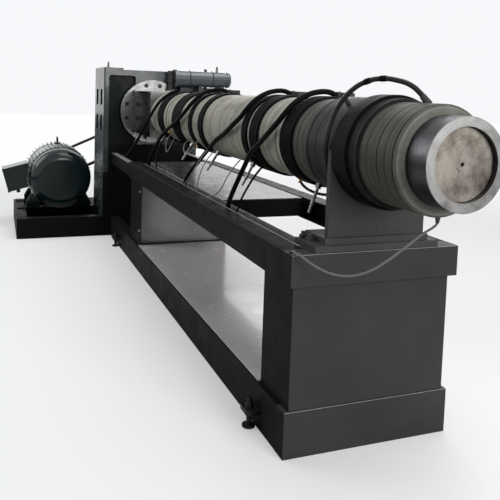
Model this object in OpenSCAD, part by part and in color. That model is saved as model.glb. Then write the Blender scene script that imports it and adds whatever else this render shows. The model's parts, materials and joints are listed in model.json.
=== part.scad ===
// Single-screw plastic extruder with belt drive, oil-cooled gearbox and heated barrel.
// X runs along the barrel towards the discharge end, Z is up, the floor is z = 0,
// and the origin lies under the barrel axis near the front of the base.

/* [Barrel] */
// Height of the barrel axis above the floor
axis_z = 1100; // [1060:5:1180]
// Outer diameter of the steel barrel tube
barrel_d = 250; // [220:1:270]
// Bore of the barrel, the screw diameter with its running gap
barrel_bore_d = 150; // [120:1:160]
// Discharge end of the heater jackets
jackets_end_x = 363; // [320:1:400]
// Outer diameter of the heater jackets
jacket_d = 356; // [340:1:370]
// Outer diameter of the front saddle cover
saddle_cover_d = 380; // [374:1:400]
// Outer diameter of the head ring
ring_d = 290; // [275:1:300]
// Length of the head ring
ring_len = 102; // [80:1:120]
// Width of the grooves between the heater bands
groove_w = 5; // [3:0.5:8]
// Thickness of the cable wound round the barrel
wrap_t = 12; // [8:1:14]
// Diameter of the recess in the head ring
ring_recess_d = 228; // [210:1:236]
// Depth of the blanking disc's face below the end of the ring
disc_recess = 20; // [12:1:30]
// Thickness of the blanking disc
disc_t = 18; // [12:1:24]

/* [Frame] */
// Length of the frame, from the front panel to the gearbox stand
frame_len = 3745; // [3500:5:4200]
// Half width across the outer faces of the base rails
rail_half_w = 345; // [330:1:360]
// Height of the base rails
rail_h = 172; // [150:1:200]
// Width of the flanges of the base rails
rail_flange = 75; // [60:1:90]
// Wall of the channels of the frame
channel_t = 10; // [8:0.5:12]
// Top of the top frame
deck_z = 741; // [720:1:760]
// Height of the beams of the top frame
beam_h = 115; // [100:1:130]
// Width of the flanges of the top beams
beam_flange = 90; // [70:1:100]
// Half width across the outer faces of the top beams
beam_half_w = 347.5; // [335:0.5:360]
// How far the front rim stands out in front of the front panel
rim_out = 24; // [10:1:40]
// Depth of the front rim
rim_depth = 85; // [60:1:100]

/* [Pedestals] */
// Half width of both pedestals
pedestal_half_w = 325; // [300:1:330]
// Depth of the front pedestal
front_pedestal_depth = 265; // [220:1:320]
// Front edge of the rear pedestal, as a distance behind the front panel
rear_pedestal_at = 2577; // [2400:1:2700]
// Depth of the rear pedestal
rear_pedestal_depth = 369; // [300:1:420]
// Thickness of the sheet of the pedestals
sheet_t = 6; // [4:0.5:10]

/* [Gearbox] */
// Depth of the gearbox along the barrel
gearbox_depth = 545; // [500:1:640]
// Half width of the gearbox and of its stand
gearbox_half_w = 422; // [400:1:450]
// Underside of the gearbox
gearbox_z0 = 560; // [530:1:590]
// Height of the gearbox
gearbox_h = 915; // [880:1:960]
// Outer diameter of the output flange
flange_d = 560; // [540:1:590]
// Thickness of the output flange
flange_t = 32; // [24:1:40]
// Bolt circle of the output flange
flange_pcd = 470; // [450:1:490]
// Half width of the square feed block
feed_half_w = 178; // [165:1:182]
// Half height of the square feed block
feed_half_h = 180; // [170:1:182]

/* [Drive] */
// Distance of the motor axis from the barrel axis
motor_y = 745; // [740:1:800]
// Height of the motor axis above its base frame
motor_shaft_h = 285; // [285:1:320]
// Outer diameter of both belt pulleys
pulley_d = 250; // [220:1:260]
// Width of the belt pulleys
pulley_w = 120; // [100:1:140]

/* [Hidden] */

round_fn = 96;
small_fn = 24;
barrel_r = barrel_d / 2;
bore_r = barrel_bore_d / 2;
jacket_r = jacket_d / 2;
saddle_r = saddle_cover_d / 2;
ring_x1 = jackets_end_x + ring_len;
stand_front = -frame_len;
gearbox_rear = stand_front - gearbox_depth;
gearbox_top = gearbox_z0 + gearbox_h;
beam_z0 = deck_z - beam_h;
flange_x1 = stand_front + flange_t;

// Rolled channels: the flanges are thicker at the root than at the toe
flange_taper = 2.5;
flange_root = channel_t + flange_taper;
flange_toe = channel_t - flange_taper;

// Base: the front plinth reaches a little in front of the panel
plinth_out = 5;
cross_bar_w = 60;
tube_wall = 6;
bar_setback = 60;
base_bar_x = [
    -front_pedestal_depth - 40, -1450, -rear_pedestal_at - bar_setback,
    -rear_pedestal_at - rear_pedestal_depth + bar_setback
];

// Top frame: cross bars carry the tray, the deck plate and the foot of the barrel support
tray_w = 52;
tray_t = 3;
tray_h = 45;
tray_x = [-2840, -110];
tray_y0 = -beam_half_w + beam_flange;
tray_z0 = deck_z - tray_h;
side_gap = 2;
bar_half_w = beam_half_w - channel_t;
deck_y = [tray_y0 + tray_w + side_gap, beam_half_w - beam_flange - side_gap];
deck_t = 6;
deck_drop = 4;
deck_seat = deck_z - deck_drop - deck_t;
frame_rear = -rear_pedestal_at - rear_pedestal_depth;
deck_front = -1150;
foot_bar_x = -120;
deck_bar_x = [deck_front - cross_bar_w / 2, -2200];

// Barrel zones
zone_gap = 26;
rear_zone_x = stand_front + 748;
jacket_x = [jackets_end_x, -377, -914, -1857, -2480, rear_zone_x];
groove_depth = 4;
groove_x = [
    [253, -330], [-618], [-1138, -1314, -1487], [-2000, -2420], [rear_zone_x + 97, rear_zone_x + 197]
];
end_chamfer = 20;
wrap_cable_d = 18;
wrap_r = jacket_r + wrap_t;
wrap_x = [
    [-486, -373], [-842, -740], [-947, -884], [-1687, -1607],
    [-1896, -1833], [-2300, -2113], [-2710, -2565]
];
saddle_x = [-233, 144];
saddle_wrap_x = [2, 94];
saddle_groove_x = -210;
terminal_x = [-455, -915, -1865];
terminal_size = [60, 55, 71];
terminal_y0 = 75;
terminal_top = 1306;
probe_x = [-348, -1022, -1551, -2080];
probe_angle = [160, 152, 148, 147];
probe_tip = 306;

// Feed block
feed_x0 = flange_x1;
feed_x1 = jacket_x[5] - 3;
throat_x = feed_x0 + 333;
throat_len = 180;
throat_w = 130;
hopper_pitch = 230;
hopper_hole_r = 8;
hopper_hole_depth = 30;

// Motor
slide_h = 10;
slide_w = 100;
slide_gap = 10;
motor_axis_z = rail_h + slide_h + motor_shaft_h;
skid_len = 1044;
skid_flange = 90;
skid_y0 = -1128;
motor_fin_d = 2 * (motor_shaft_h - 1);
cowl_d = motor_fin_d - 34;
cowl_x1 = gearbox_rear + 290;
cowl_len = 200;
frame_x1 = cowl_x1 - cowl_len;
motor_foot_x = [frame_x1 - 90, frame_x1 - 500];
foot_pitch_y = 1.6 * motor_shaft_h;
motor_len = 580;
motor_frame_x0 = frame_x1 - motor_len;
shield_len = 60;
shaft_boss_len = 20;
shield_x0 = motor_frame_x0 - shield_len - shaft_boss_len;
pulley_gap = 5;
pulley_x = shield_x0 - pulley_gap - pulley_w / 2;
shaft_r = 37;
input_y = -120;
input_z = 748;
sleeve_gap = 40;
sleeve_x0 = pulley_x + pulley_w / 2 + sleeve_gap;

// Wedge belts: each one sits between the flanks of its groove
belt_count = 4;
belt_pitch = 26;
belt_top_w = 22;
belt_h = 16;
belt_proud = 2;
flank_angle = 19;
belt_clearance = 0.2;
groove_floor = 6;
belt_out_r = pulley_d / 2 + belt_proud;
belt_in_r = belt_out_r - belt_h;

// Routes of the cables and hoses, from end to end
heater_lead_d = 24;
heater_lead_1_points = [
    [-455, 75, 1292], [-455, 62, 1293], [-454, 20, 1306], [-453, -35, 1304], [-454, -90, 1286],
    [-458, -135, 1256], [-468, -168, 1218], [-495, -190, 1176], [-545, -201, 1137], [-660, -203, 1073],
    [-800, -190, 1015], [-905, -177, 945], [-952, -190, 872], [-968, -216, 795], [-971, -231, 745],
    [-971, -231, 699]
];
heater_lead_2_points = [
    [-915, 75, 1292], [-915, 62, 1293], [-914, 20, 1306], [-911, -35, 1304], [-908, -90, 1286],
    [-910, -135, 1256], [-920, -168, 1218], [-948, -190, 1176], [-1010, -202, 1139], [-1150, -196, 1087],
    [-1330, -184, 1035], [-1500, -168, 975], [-1640, -182, 890], [-1715, -208, 820], [-1758, -230, 750],
    [-1760, -231, 699]
];
heater_lead_3_points = [
    [-1865, 75, 1292], [-1865, 62, 1293], [-1864, 20, 1306], [-1863, -35, 1304], [-1862, -90, 1286],
    [-1865, -135, 1256], [-1880, -168, 1218], [-1920, -191, 1174], [-2000, -203, 1130],
    [-2140, -205, 1083], [-2300, -199, 1043], [-2470, -189, 1000], [-2620, -189, 940],
    [-2712, -208, 850], [-2752, -230, 760], [-2755, -231, 699]
];
hose_d = 18;
hose_points = [
    [-95, -106, 812], [-95, -106, 862], [-92, -116, 912], [-79, -147, 967], [-56, -183, 1025],
    [-40, -203, 1090], [-33, -201, 1150], [-27, -190, 1205], [-8, -172, 1262], [28, -147, 1312],
    [74, -114, 1344], [120, -81, 1354], [160, -52, 1349], [197, -26, 1335], [225, -6, 1309],
    [243, 7, 1284]
];
hanging_lead_d = 8;
hanging_lead_points = [
    [330, 10, 912], [329, 9, 899], [321, 0, 885], [301, -24, 861], [272, -61, 816], [240, -102, 768],
    [207, -143, 728], [178, -179, 706], [148, -216, 696], [120, -250, 700], [96, -279, 712],
    [74, -303, 727], [55, -320, 741], [38, -330, 749], [22, -333, 747], [4, -333, 747]
];
hose_start = hose_points[0];
hose_end = hose_points[len(hose_points) - 1];
hose_aim = hose_end - hose_points[len(hose_points) - 2];
lead_start = hanging_lead_points[0];
lead_end = hanging_lead_points[len(hanging_lead_points) - 1];
gland_wall = 4;
lead_clip = [14, 16, 12];

// Screws of the output flange, counterbored
screw_seat = 16;
screw_count = 12;
screw_r = 18;

// Foot of the barrel support
foot_x = [-150, 20];
foot_half_w = 256;
foot_t = 25;
step_half_w = 215;
step_back = 10;
rib_back = 5;
step_h = 24;
support_z0 = deck_z + foot_t + step_h;

// Oil cooler across the top of the gearbox
cooler_r = 72;
cooler_y0 = 173;
cooler_len = 517;
cooler_foot_y = [404, 604];
cooler_foot_h = 66;
cooler_x = stand_front + 85;
cooler_z = gearbox_top - cooler_r;

// A rolled channel along +X: its web is the outer face at y = 0, its flanges point to +Y
module channel(len, h, w) {
    rotate([90, 0, 90]) linear_extrude(len)
        polygon([
            [0, 0], [w, 0], [w, flange_toe], [channel_t, flange_root], [channel_t, h - flange_root],
            [w, h - flange_toe], [w, h], [0, h]
        ]);
}

// A rectangle with round corners, its lower left corner at the origin
module round_rect(w, h, r) {
    translate([r, 0]) square([w - 2 * r, h]);
    translate([0, r]) square([w, h - 2 * r]);
    for (x = [r, w - r]) for (y = [r, h - r])
        translate([x, y]) circle(r = r, $fn = small_fn);
}

// Turns a profile of radius against length about X
module turned_x() {
    rotate([0, 90, 0]) rotate_extrude($fn = round_fn) children();
}

// Turns a profile of radius against length about Y
module turned_y() {
    rotate([-90, 0, 0]) rotate_extrude($fn = round_fn) children();
}

// A cylinder along X between two places
module rod_x(x0, x1, r, fn = round_fn) {
    translate([x0, 0, 0]) rotate([0, 90, 0]) cylinder(h = x1 - x0, r = r, $fn = fn);
}

// A ring along X between two places
module ring_x(x0, x1, ro, ri, fn = round_fn) {
    difference() {
        rod_x(x0, x1, ro, fn);
        rod_x(x0 - 1, x1 + 1, ri, fn);
    }
}

// Turns children from +Z to a direction
module aimed(v) {
    rotate([0, acos(v[2] / norm(v)), atan2(v[1], v[0])]) children();
}

// Places children on the barrel axis
module on_axis() {
    translate([0, 0, axis_z]) children();
}

module base_rail(side) {
    mirror([0, side > 0 ? 1 : 0, 0])
        translate([stand_front, -rail_half_w, 0])
            channel(frame_len - rail_flange + plinth_out, rail_h, rail_flange);
}
module base_rail_near() { color([0.07, 0.07, 0.07]) base_rail(-1); }
module base_rail_far() { color([0.07, 0.07, 0.07]) base_rail(1); }

// Cross channel with closed ends, its web facing out of the frame
module end_channel() {
    translate([0, -rail_half_w, 0]) rotate([0, 0, 90])
        channel(2 * rail_half_w, rail_h, rail_flange);
    for (side = [0, 1])
        translate([-rail_flange, side * (2 * rail_half_w - channel_t) - rail_half_w, channel_t])
            cube([rail_flange - channel_t, channel_t, rail_h - 2 * channel_t]);
}
module front_plinth() {
    color([0.07, 0.07, 0.07]) translate([plinth_out, 0, 0]) end_channel();
}
// A hollow square bar along Y, open at both ends
module hollow_bar(w, y0, y1, h) {
    translate([-w / 2, y0, 0]) difference() {
        cube([w, y1 - y0, h]);
        translate([tube_wall, -1, tube_wall]) cube([w - 2 * tube_wall, y1 - y0 + 2, h - 2 * tube_wall]);
    }
}
module base_cross_bars() {
    half_w = rail_half_w - channel_t;
    color([0.07, 0.07, 0.07])
        for (x = base_bar_x)
            translate([x, 0, flange_root])
                hollow_bar(cross_bar_w, -half_w, half_w, rail_h - 2 * flange_root);
}

// Plate over the base rails between the two pedestals
module base_plate() {
    edge_gap = 10;
    color([0.5, 0.51, 0.52]) translate([-rear_pedestal_at, edge_gap - rail_half_w, rail_h])
        cube([rear_pedestal_at - front_pedestal_depth, 2 * (rail_half_w - edge_gap), sheet_t]);
}

module top_beam(side) {
    len = rear_pedestal_at + rear_pedestal_depth - rim_depth + rim_out;
    mirror([0, side > 0 ? 1 : 0, 0])
        translate([-rear_pedestal_at - rear_pedestal_depth, -beam_half_w, beam_z0])
            channel(len, beam_h, beam_flange);
}
module top_beam_near() { color([0.06, 0.06, 0.06]) top_beam(-1); }
module top_beam_far() { color([0.06, 0.06, 0.06]) top_beam(1); }

// Front rim with a small clip that holds the end of the hanging lead
module front_rim() {
    color([0.1, 0.1, 0.1]) translate([rim_out, 0, beam_z0]) {
        translate([0, -beam_half_w, 0]) rotate([0, 0, 90])
            channel(2 * beam_half_w, beam_h, rim_depth);
        for (side = [0, 1])
            translate([-rim_depth, side * (2 * beam_half_w - channel_t) - beam_half_w, channel_t])
                cube([rim_depth - channel_t, channel_t, beam_h - 2 * channel_t]);
        translate([lead_end[0] - rim_out - lead_clip[0], lead_end[1] - lead_clip[1] / 2, beam_h])
            cube(lead_clip);
    }
}

// A cross bar between the top beams, with a raised part beside the cable tray
module frame_bar(top) {
    translate([0, 0, beam_z0 + flange_root])
        hollow_bar(cross_bar_w, -bar_half_w, bar_half_w, tray_z0 - beam_z0 - flange_root);
    translate([0, 0, tray_z0]) hollow_bar(cross_bar_w, deck_y[0], deck_y[1], top - tray_z0);
}
// Cross beam at the rear end of the top frame
module rear_cross_beam() {
    color([0.06, 0.06, 0.06]) translate([frame_rear + cross_bar_w / 2, 0, 0]) frame_bar(deck_seat);
}
module frame_cross_bars() {
    color([0.06, 0.06, 0.06]) {
        translate([foot_bar_x, 0, 0]) frame_bar(deck_z);
        for (x = deck_bar_x) translate([x, 0, 0]) frame_bar(deck_seat);
    }
}
// Plate between the beams over the rear half of the frame
module deck_plate() {
    color([0.5, 0.51, 0.52]) translate([frame_rear, deck_y[0], deck_seat])
        cube([deck_front - frame_rear, deck_y[1] - deck_y[0], deck_t]);
}

// Sheet-metal cabinet, open at the front
module front_cabinet() {
    h = beam_z0 - rail_h;
    color([0.08, 0.08, 0.08]) translate([-front_pedestal_depth, -pedestal_half_w, rail_h])
        difference() {
            cube([front_pedestal_depth - sheet_t, 2 * pedestal_half_w, h]);
            translate([sheet_t, sheet_t, sheet_t])
                cube([front_pedestal_depth, 2 * (pedestal_half_w - sheet_t), h - 2 * sheet_t]);
        }
}
module front_panel() {
    color([0.24, 0.24, 0.23]) translate([-sheet_t, -pedestal_half_w, rail_h])
        cube([sheet_t, 2 * pedestal_half_w, beam_z0 - rail_h]);
}

// Rear pedestal: a box whose front wall is set back between the side plates
module rear_pedestal() {
    h = beam_z0 - rail_h;
    setback = 60;
    color([0.1, 0.1, 0.1])
        translate([-rear_pedestal_at - rear_pedestal_depth, -pedestal_half_w, rail_h])
            difference() {
                cube([rear_pedestal_depth, 2 * pedestal_half_w, h]);
                translate([sheet_t, sheet_t, sheet_t])
                    cube([rear_pedestal_depth - setback - 2 * sheet_t,
                          2 * (pedestal_half_w - sheet_t), h - 2 * sheet_t]);
                translate([rear_pedestal_depth - setback, sheet_t, sheet_t])
                    cube([setback + 1, 2 * (pedestal_half_w - sheet_t), h - 2 * sheet_t]);
            }
}

// Grey side beams between the top frame and the gearbox
module rear_side_beams() {
    beam_w = 50;
    color([0.6, 0.62, 0.63])
        for (side = [0, 1])
            mirror([0, side, 0])
                translate([stand_front, -beam_half_w, beam_z0 + channel_t])
                    channel(frame_rear - stand_front, beam_h - 2 * channel_t, beam_w);
}

// Cable tray along the inner edge of the near beam
module cable_tray() {
    len = tray_x[1] - tray_x[0];
    color([0.5, 0.5, 0.48]) translate([tray_x[0], tray_y0, tray_z0]) difference() {
        cube([len, tray_w, tray_h]);
        translate([-1, tray_t, tray_t]) cube([len + 2, tray_w - 2 * tray_t, tray_h]);
    }
}

module gearbox_stand() {
    t = 16;
    h = gearbox_z0 - rail_h;
    color([0.35, 0.38, 0.38]) translate([gearbox_rear, -gearbox_half_w, rail_h]) difference() {
        cube([gearbox_depth, 2 * gearbox_half_w, h]);
        translate([t, t, t]) cube([gearbox_depth - 2 * t, 2 * (gearbox_half_w - t), h - 2 * t]);
    }
}

// Cast gearbox case: deep front pockets, slotted sides, a joint line and rear bearing covers
module gearbox_housing() {
    pocket_y = [-380, -147];
    pocket_z = [805, 1410];
    pocket_depth = 60;
    pocket_r = 25;
    slot_x = [stand_front - 440, stand_front - 200];
    slot_z = [1145, 918];
    slot_size = [110, 139];
    slot_r = 14;
    slot_depth = 40;
    case_r = 12;
    lid_h = 16;
    lid_w = 166;
    joint_z = 833;
    joint_w = 4;
    joint_depth = 3;
    thrust_cover_r = 190;
    shaft_cover_r = 95;
    cover_t = 26;
    shaft_cover_y = 190;
    width = 2 * gearbox_half_w;
    color([0.38, 0.44, 0.44]) {
        on_axis() rod_x(gearbox_rear - cover_t, gearbox_rear, thrust_cover_r);
        translate([0, shaft_cover_y, input_z]) rod_x(gearbox_rear - cover_t, gearbox_rear, shaft_cover_r);
    }
    color([0.38, 0.44, 0.44]) difference() {
        union() {
            translate([gearbox_rear, -gearbox_half_w, gearbox_z0])
                linear_extrude(gearbox_h - lid_h) round_rect(gearbox_depth, width, case_r);
            translate([gearbox_rear, -gearbox_half_w, gearbox_top - lid_h])
                linear_extrude(lid_h) round_rect(gearbox_depth, lid_w, case_r);
        }
        for (side = [0, 1]) mirror([0, side, 0]) {
            translate([stand_front - pocket_depth, pocket_y[0], pocket_z[0]])
                rotate([90, 0, 90]) linear_extrude(pocket_depth + 1)
                    round_rect(pocket_y[1] - pocket_y[0], pocket_z[1] - pocket_z[0], pocket_r);
            for (x = slot_x) for (z = slot_z)
                translate([x, slot_depth - gearbox_half_w, z]) rotate([90, 0, 0])
                    linear_extrude(slot_depth + 1) round_rect(slot_size[0], slot_size[1], slot_r);
        }
        translate([0, 0, joint_z]) difference() {
            translate([gearbox_rear - 1, -gearbox_half_w - 1, 0]) cube([gearbox_depth, width + 2, joint_w]);
            translate([gearbox_rear + joint_depth, joint_depth - gearbox_half_w, -1])
                cube([gearbox_depth, width - 2 * joint_depth, joint_w + 2]);
        }
    }
}

// A lifting eye standing on z = 0
module lifting_eye(ring_r, wire_r) {
    collar_h = 12;
    cylinder(h = collar_h, r = ring_r, $fn = small_fn);
    translate([0, 0, collar_h + ring_r]) rotate([90, 0, 0]) rotate_extrude($fn = small_fn)
        translate([ring_r, 0]) circle(r = wire_r, $fn = small_fn);
}
module gearbox_eyebolt() {
    edge = 40;
    color([0.7, 0.7, 0.7])
        translate([stand_front - edge, -gearbox_half_w + edge, gearbox_top]) lifting_eye(17, 6);
}

// Places children on the bolt circle of the output flange
module on_flange_circle() {
    on_axis() for (i = [0:screw_count - 1])
        rotate([(i + 0.5) * 360 / screw_count, 0, 0]) translate([0, 0, flange_pcd / 2]) children();
}
module output_flange() {
    edge = 4;
    color([0.7, 0.69, 0.68]) difference() {
        on_axis() translate([stand_front, 0, 0]) turned_x()
            polygon([[0, 0], [flange_d / 2, 0], [flange_d / 2, flange_t - edge],
                     [flange_d / 2 - edge, flange_t], [0, flange_t]]);
        on_flange_circle() rod_x(flange_x1 - screw_seat, flange_x1 + 1, screw_r + 1, small_fn);
    }
}
module flange_screws() {
    socket_r = 9;
    socket_depth = 10;
    screw_drop = 2;
    color([0.3, 0.3, 0.3]) on_flange_circle() difference() {
        rod_x(flange_x1 - screw_seat, flange_x1 - screw_drop, screw_r, small_fn);
        rod_x(flange_x1 - screw_drop - socket_depth, flange_x1, socket_r, 6);
    }
}

// Square feed block with the feed throat in its top and tapped holes for a hopper
module feed_block() {
    edge = 8;
    rear_wall = 60;
    port_r = 16;
    port_len = 14;
    color([0.62, 0.62, 0.62]) on_axis() difference() {
        union() {
            translate([feed_x0, 0, 0]) rotate([90, 0, 90]) linear_extrude(feed_x1 - feed_x0) hull() {
                square([2 * feed_half_w, 2 * (feed_half_h - edge)], center = true);
                square([2 * (feed_half_w - edge), 2 * feed_half_h], center = true);
            }
            for (side = [-1, 1])
                translate([throat_x + side * throat_len, feed_half_w, 0]) rotate([-90, 0, 0])
                    cylinder(h = port_len, r = port_r, $fn = small_fn);
        }
        rod_x(feed_x0 + rear_wall, feed_x1 + 1, bore_r);
        translate([throat_x - throat_len / 2, -throat_w / 2, 0])
            cube([throat_len, throat_w, feed_half_h + 1]);
        for (sx = [-1, 1]) for (sy = [-1, 1])
            translate([throat_x + sx * hopper_pitch / 2, sy * hopper_pitch / 2,
                       feed_half_h - hopper_hole_depth])
                cylinder(h = hopper_hole_depth + 1, r = hopper_hole_r, $fn = small_fn);
    }
}

module barrel_tube() {
    color([0.35, 0.35, 0.36]) on_axis() ring_x(feed_x1, jackets_end_x, barrel_r, bore_r);
}

// One heater jacket: grooves divide it into bands
module jacket(i) {
    x1 = i == 0 ? jackets_end_x : jacket_x[i] - zone_gap;
    x0 = jacket_x[i + 1];
    color([0.5, 0.5, 0.45]) on_axis() difference() {
        ring_x(x0, x1, jacket_r, barrel_r);
        for (x = groove_x[i])
            ring_x(x - groove_w / 2, x + groove_w / 2, jacket_r + 1, jacket_r - groove_depth);
    }
}
// The front jacket has a chamfered end, a gland for the hose and one for the hanging lead
module heater_jacket_1() {
    color([0.5, 0.5, 0.45]) {
        difference() {
            jacket(0);
            on_axis() translate([jackets_end_x - end_chamfer, 0, 0]) turned_x()
                polygon([[jacket_r, 0], [jacket_r + 1, 0], [jacket_r + 1, end_chamfer + 1],
                         [jacket_r - end_chamfer, end_chamfer + 1], [jacket_r - end_chamfer, end_chamfer]]);
        }
        difference() {
            union() {
                translate(hose_end) aimed(hose_aim)
                    cylinder(h = jacket_r - barrel_r, r = hose_d / 2 + gland_wall, $fn = small_fn);
                translate(lead_start) cylinder(h = axis_z - lead_start[2],
                    r = hanging_lead_d / 2 + gland_wall, $fn = small_fn);
            }
            on_axis() rod_x(jackets_end_x - ring_d, jackets_end_x, jacket_r - gland_wall);
        }
    }
}
module heater_jacket_2() { jacket(1); }
module heater_jacket_3() { jacket(2); }
module heater_jacket_4() { jacket(3); }
module heater_jacket_5() { jacket(4); }

// Black cover over the barrel where the front support holds it, with a post for the hose
module saddle_cover() {
    post_x = -70;
    post_angle = 32;
    post_r = 9;
    post_len = 34;
    color([0.12, 0.12, 0.12]) on_axis() {
        difference() {
            ring_x(saddle_x[0], saddle_x[1], saddle_r, jacket_r);
            ring_x(saddle_groove_x - groove_w / 2, saddle_groove_x + groove_w / 2,
                   saddle_r + 1, saddle_r - groove_depth);
        }
        rotate([post_angle, 0, 0]) translate([post_x, 0, saddle_r - 1])
            cylinder(h = post_len, r = post_r, $fn = small_fn);
    }
}

// Cable wound round the barrel: ridged turns side by side
module cable_wrap(x, inner_r) {
    width = x[1] - x[0];
    turns = round(width / wrap_cable_d);
    pitch = width / turns;
    edge = pitch / 3;
    top_r = inner_r + wrap_t;
    color([0.05, 0.05, 0.05]) on_axis() translate([x[0], 0, 0]) turned_x()
        polygon(concat(
            [[inner_r, 0]],
            [for (i = [0:turns - 1]) for (p = [[-edge, 0], [0, edge], [0, pitch - edge], [-edge, pitch]])
                if (i == turns - 1 || p[1] < pitch) [top_r + p[0], i * pitch + p[1]]],
            [[inner_r, width]]
        ));
}
module cable_straps() {
    for (x = wrap_x) cable_wrap(x, jacket_r);
    cable_wrap(saddle_wrap_x, saddle_r);
}

// Boxes on top of the barrel where the heater leads begin
module heater_terminals() {
    color([0.2, 0.2, 0.2]) difference() {
        for (x = terminal_x)
            translate([x - terminal_size[0] / 2, terminal_y0, terminal_top - terminal_size[2]])
                cube(terminal_size);
        on_axis() rod_x(jacket_x[5], jackets_end_x, wrap_r);
    }
}

// Temperature probes that stand out of the underside of the jackets
module thermocouples() {
    hex_r = 14;
    hex_h = 22;
    probe_r = 6;
    color([0.75, 0.75, 0.74]) on_axis() for (i = [0:len(probe_x) - 1])
        rotate([probe_angle[i], 0, 0]) translate([probe_x[i], 0, jacket_r]) {
            cylinder(h = hex_h, r = hex_r, $fn = 6);
            cylinder(h = probe_tip - jacket_r, r = probe_r, $fn = small_fn);
        }
}

module head_ring() {
    color([0.2, 0.21, 0.23]) on_axis() difference() {
        rod_x(jackets_end_x, ring_x1, ring_d / 2);
        rod_x(ring_x1 - disc_recess - disc_t, ring_x1 + 1, ring_recess_d / 2);
        rod_x(jackets_end_x - 1, ring_x1, bore_r);
    }
}
module blank_disc() {
    color([0.55, 0.5, 0.45]) on_axis() difference() {
        rod_x(ring_x1 - disc_recess - disc_t, ring_x1 - disc_recess, ring_recess_d / 2 - 1);
        rod_x(ring_x1 - disc_recess - disc_t / 2, ring_x1, 4, small_fn);
    }
}

// Front support: a wide plate with two ribs behind it, hollowed to the saddle cover
module barrel_support() {
    plate_t = 25;
    plate_half_w = 200;
    rib_t = 20;
    rib_y = 80;
    color([0.13, 0.13, 0.13]) difference() {
        union() {
            translate([-plate_t, -plate_half_w, support_z0])
                cube([plate_t, 2 * plate_half_w, axis_z - support_z0]);
            for (side = [-1, 1])
                translate([foot_x[0] + rib_back, side * rib_y - rib_t / 2, support_z0])
                    cube([-plate_t - foot_x[0] - rib_back, rib_t, axis_z - support_z0]);
        }
        on_axis() rod_x(saddle_x[0], saddle_x[1], saddle_r);
    }
}
// Foot plates with four studs, and the gland where the hose ends
module support_feet() {
    stud_x = [-125, -75];
    stud_y = 235;
    stud_r = 8;
    stud_top = 60;
    nut_r = 15;
    nut_h = 14;
    color([0.1, 0.1, 0.1]) {
        translate([foot_x[0], -foot_half_w, deck_z]) cube([foot_x[1] - foot_x[0], 2 * foot_half_w, foot_t]);
        translate([foot_x[0], -step_half_w, deck_z + foot_t])
            cube([foot_x[1] - foot_x[0] - step_back, 2 * step_half_w, step_h]);
        for (x = stud_x) for (side = [-1, 1])
            translate([x, side * stud_y, deck_z + foot_t]) {
                cylinder(h = stud_top, r = stud_r, $fn = small_fn);
                cylinder(h = nut_h, r = nut_r, $fn = 6);
            }
        translate([hose_start[0], hose_start[1], support_z0])
            cylinder(h = hose_start[2] - support_z0, r = hose_d / 2 + gland_wall, $fn = small_fn);
    }
}

// Round oil cooler with end flanges, clamp bands, a domed cover and a lifting eye
module oil_cooler() {
    flange_w = 22;
    flange_out = 8;
    band_w = 10;
    band_out = 2;
    band_y = [309, 520];
    neck_y = [633, 657];
    neck_in = 6;
    dome = 14;
    plug_y = 462;
    plug_r = 12;
    plug_len = 14;
    eye_y = 570;
    color([0.42, 0.47, 0.5]) translate([cooler_x, 0, cooler_z]) {
        translate([0, cooler_y0, 0]) turned_y()
            polygon([
                [0, 0], [cooler_r + flange_out, 0], [cooler_r + flange_out, flange_w], [cooler_r, flange_w],
                [cooler_r, neck_y[0] - cooler_y0], [cooler_r - neck_in, neck_y[0] - cooler_y0],
                [cooler_r - neck_in, neck_y[1] - cooler_y0], [cooler_r, neck_y[1] - cooler_y0],
                [cooler_r, cooler_len - dome], [cooler_r - dome, cooler_len], [0, cooler_len]
            ]);
        for (y = band_y) translate([0, y - band_w / 2, 0]) turned_y()
            translate([cooler_r - 1, 0]) square([band_out + 1, band_w]);
        translate([0, plug_y, -cooler_r - plug_len]) cylinder(h = 2 * plug_len, r = plug_r, $fn = 6);
        translate([0, eye_y, cooler_r - 1]) lifting_eye(16, 5);
    }
}
// Upright valve body at the near end of the cooler
module cooler_valve() {
    valve_r = 20;
    collar_r = 27;
    collar_h = 20;
    valve_z = [-110, 62];
    neck_r = 30;
    color([0.05, 0.05, 0.05]) translate([cooler_x, cooler_y0, cooler_z]) {
        translate([0, -neck_r, valve_z[0]]) {
            cylinder(h = valve_z[1] - valve_z[0], r = valve_r, $fn = small_fn);
            for (z = [0, (valve_z[1] - valve_z[0] - collar_h) / 2, valve_z[1] - valve_z[0] - collar_h])
                translate([0, 0, z]) cylinder(h = collar_h, r = collar_r, $fn = small_fn);
        }
        translate([0, -neck_r, 0]) rotate([-90, 0, 0])
            cylinder(h = neck_r, r = valve_r - 4, $fn = small_fn);
    }
}
// Shelf on the gearbox with two saddles for the cooler
module cooler_bracket() {
    shelf_t = 14;
    shelf_w = 150;
    margin = 10;
    saddle_t = 34;
    shelf_y0 = 255;
    shelf_z0 = cooler_z - cooler_r - cooler_foot_h - shelf_t;
    lip_h = 60;
    lip_t = 8;
    y1 = cooler_y0 + cooler_len + margin;
    color([0.38, 0.44, 0.44]) difference() {
        union() {
            translate([stand_front, shelf_y0, shelf_z0]) cube([shelf_w, y1 - shelf_y0, shelf_t]);
            translate([stand_front, shelf_y0, shelf_z0 + shelf_t]) cube([lip_t, y1 - shelf_y0, lip_h]);
            for (y = cooler_foot_y)
                translate([cooler_x - cooler_r + margin, y - saddle_t / 2, shelf_z0 + shelf_t])
                    cube([2 * (cooler_r - margin), saddle_t, cooler_foot_h + margin]);
        }
        translate([cooler_x, shelf_y0, cooler_z]) turned_y() square([cooler_r, y1 - shelf_y0]);
    }
}

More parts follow.
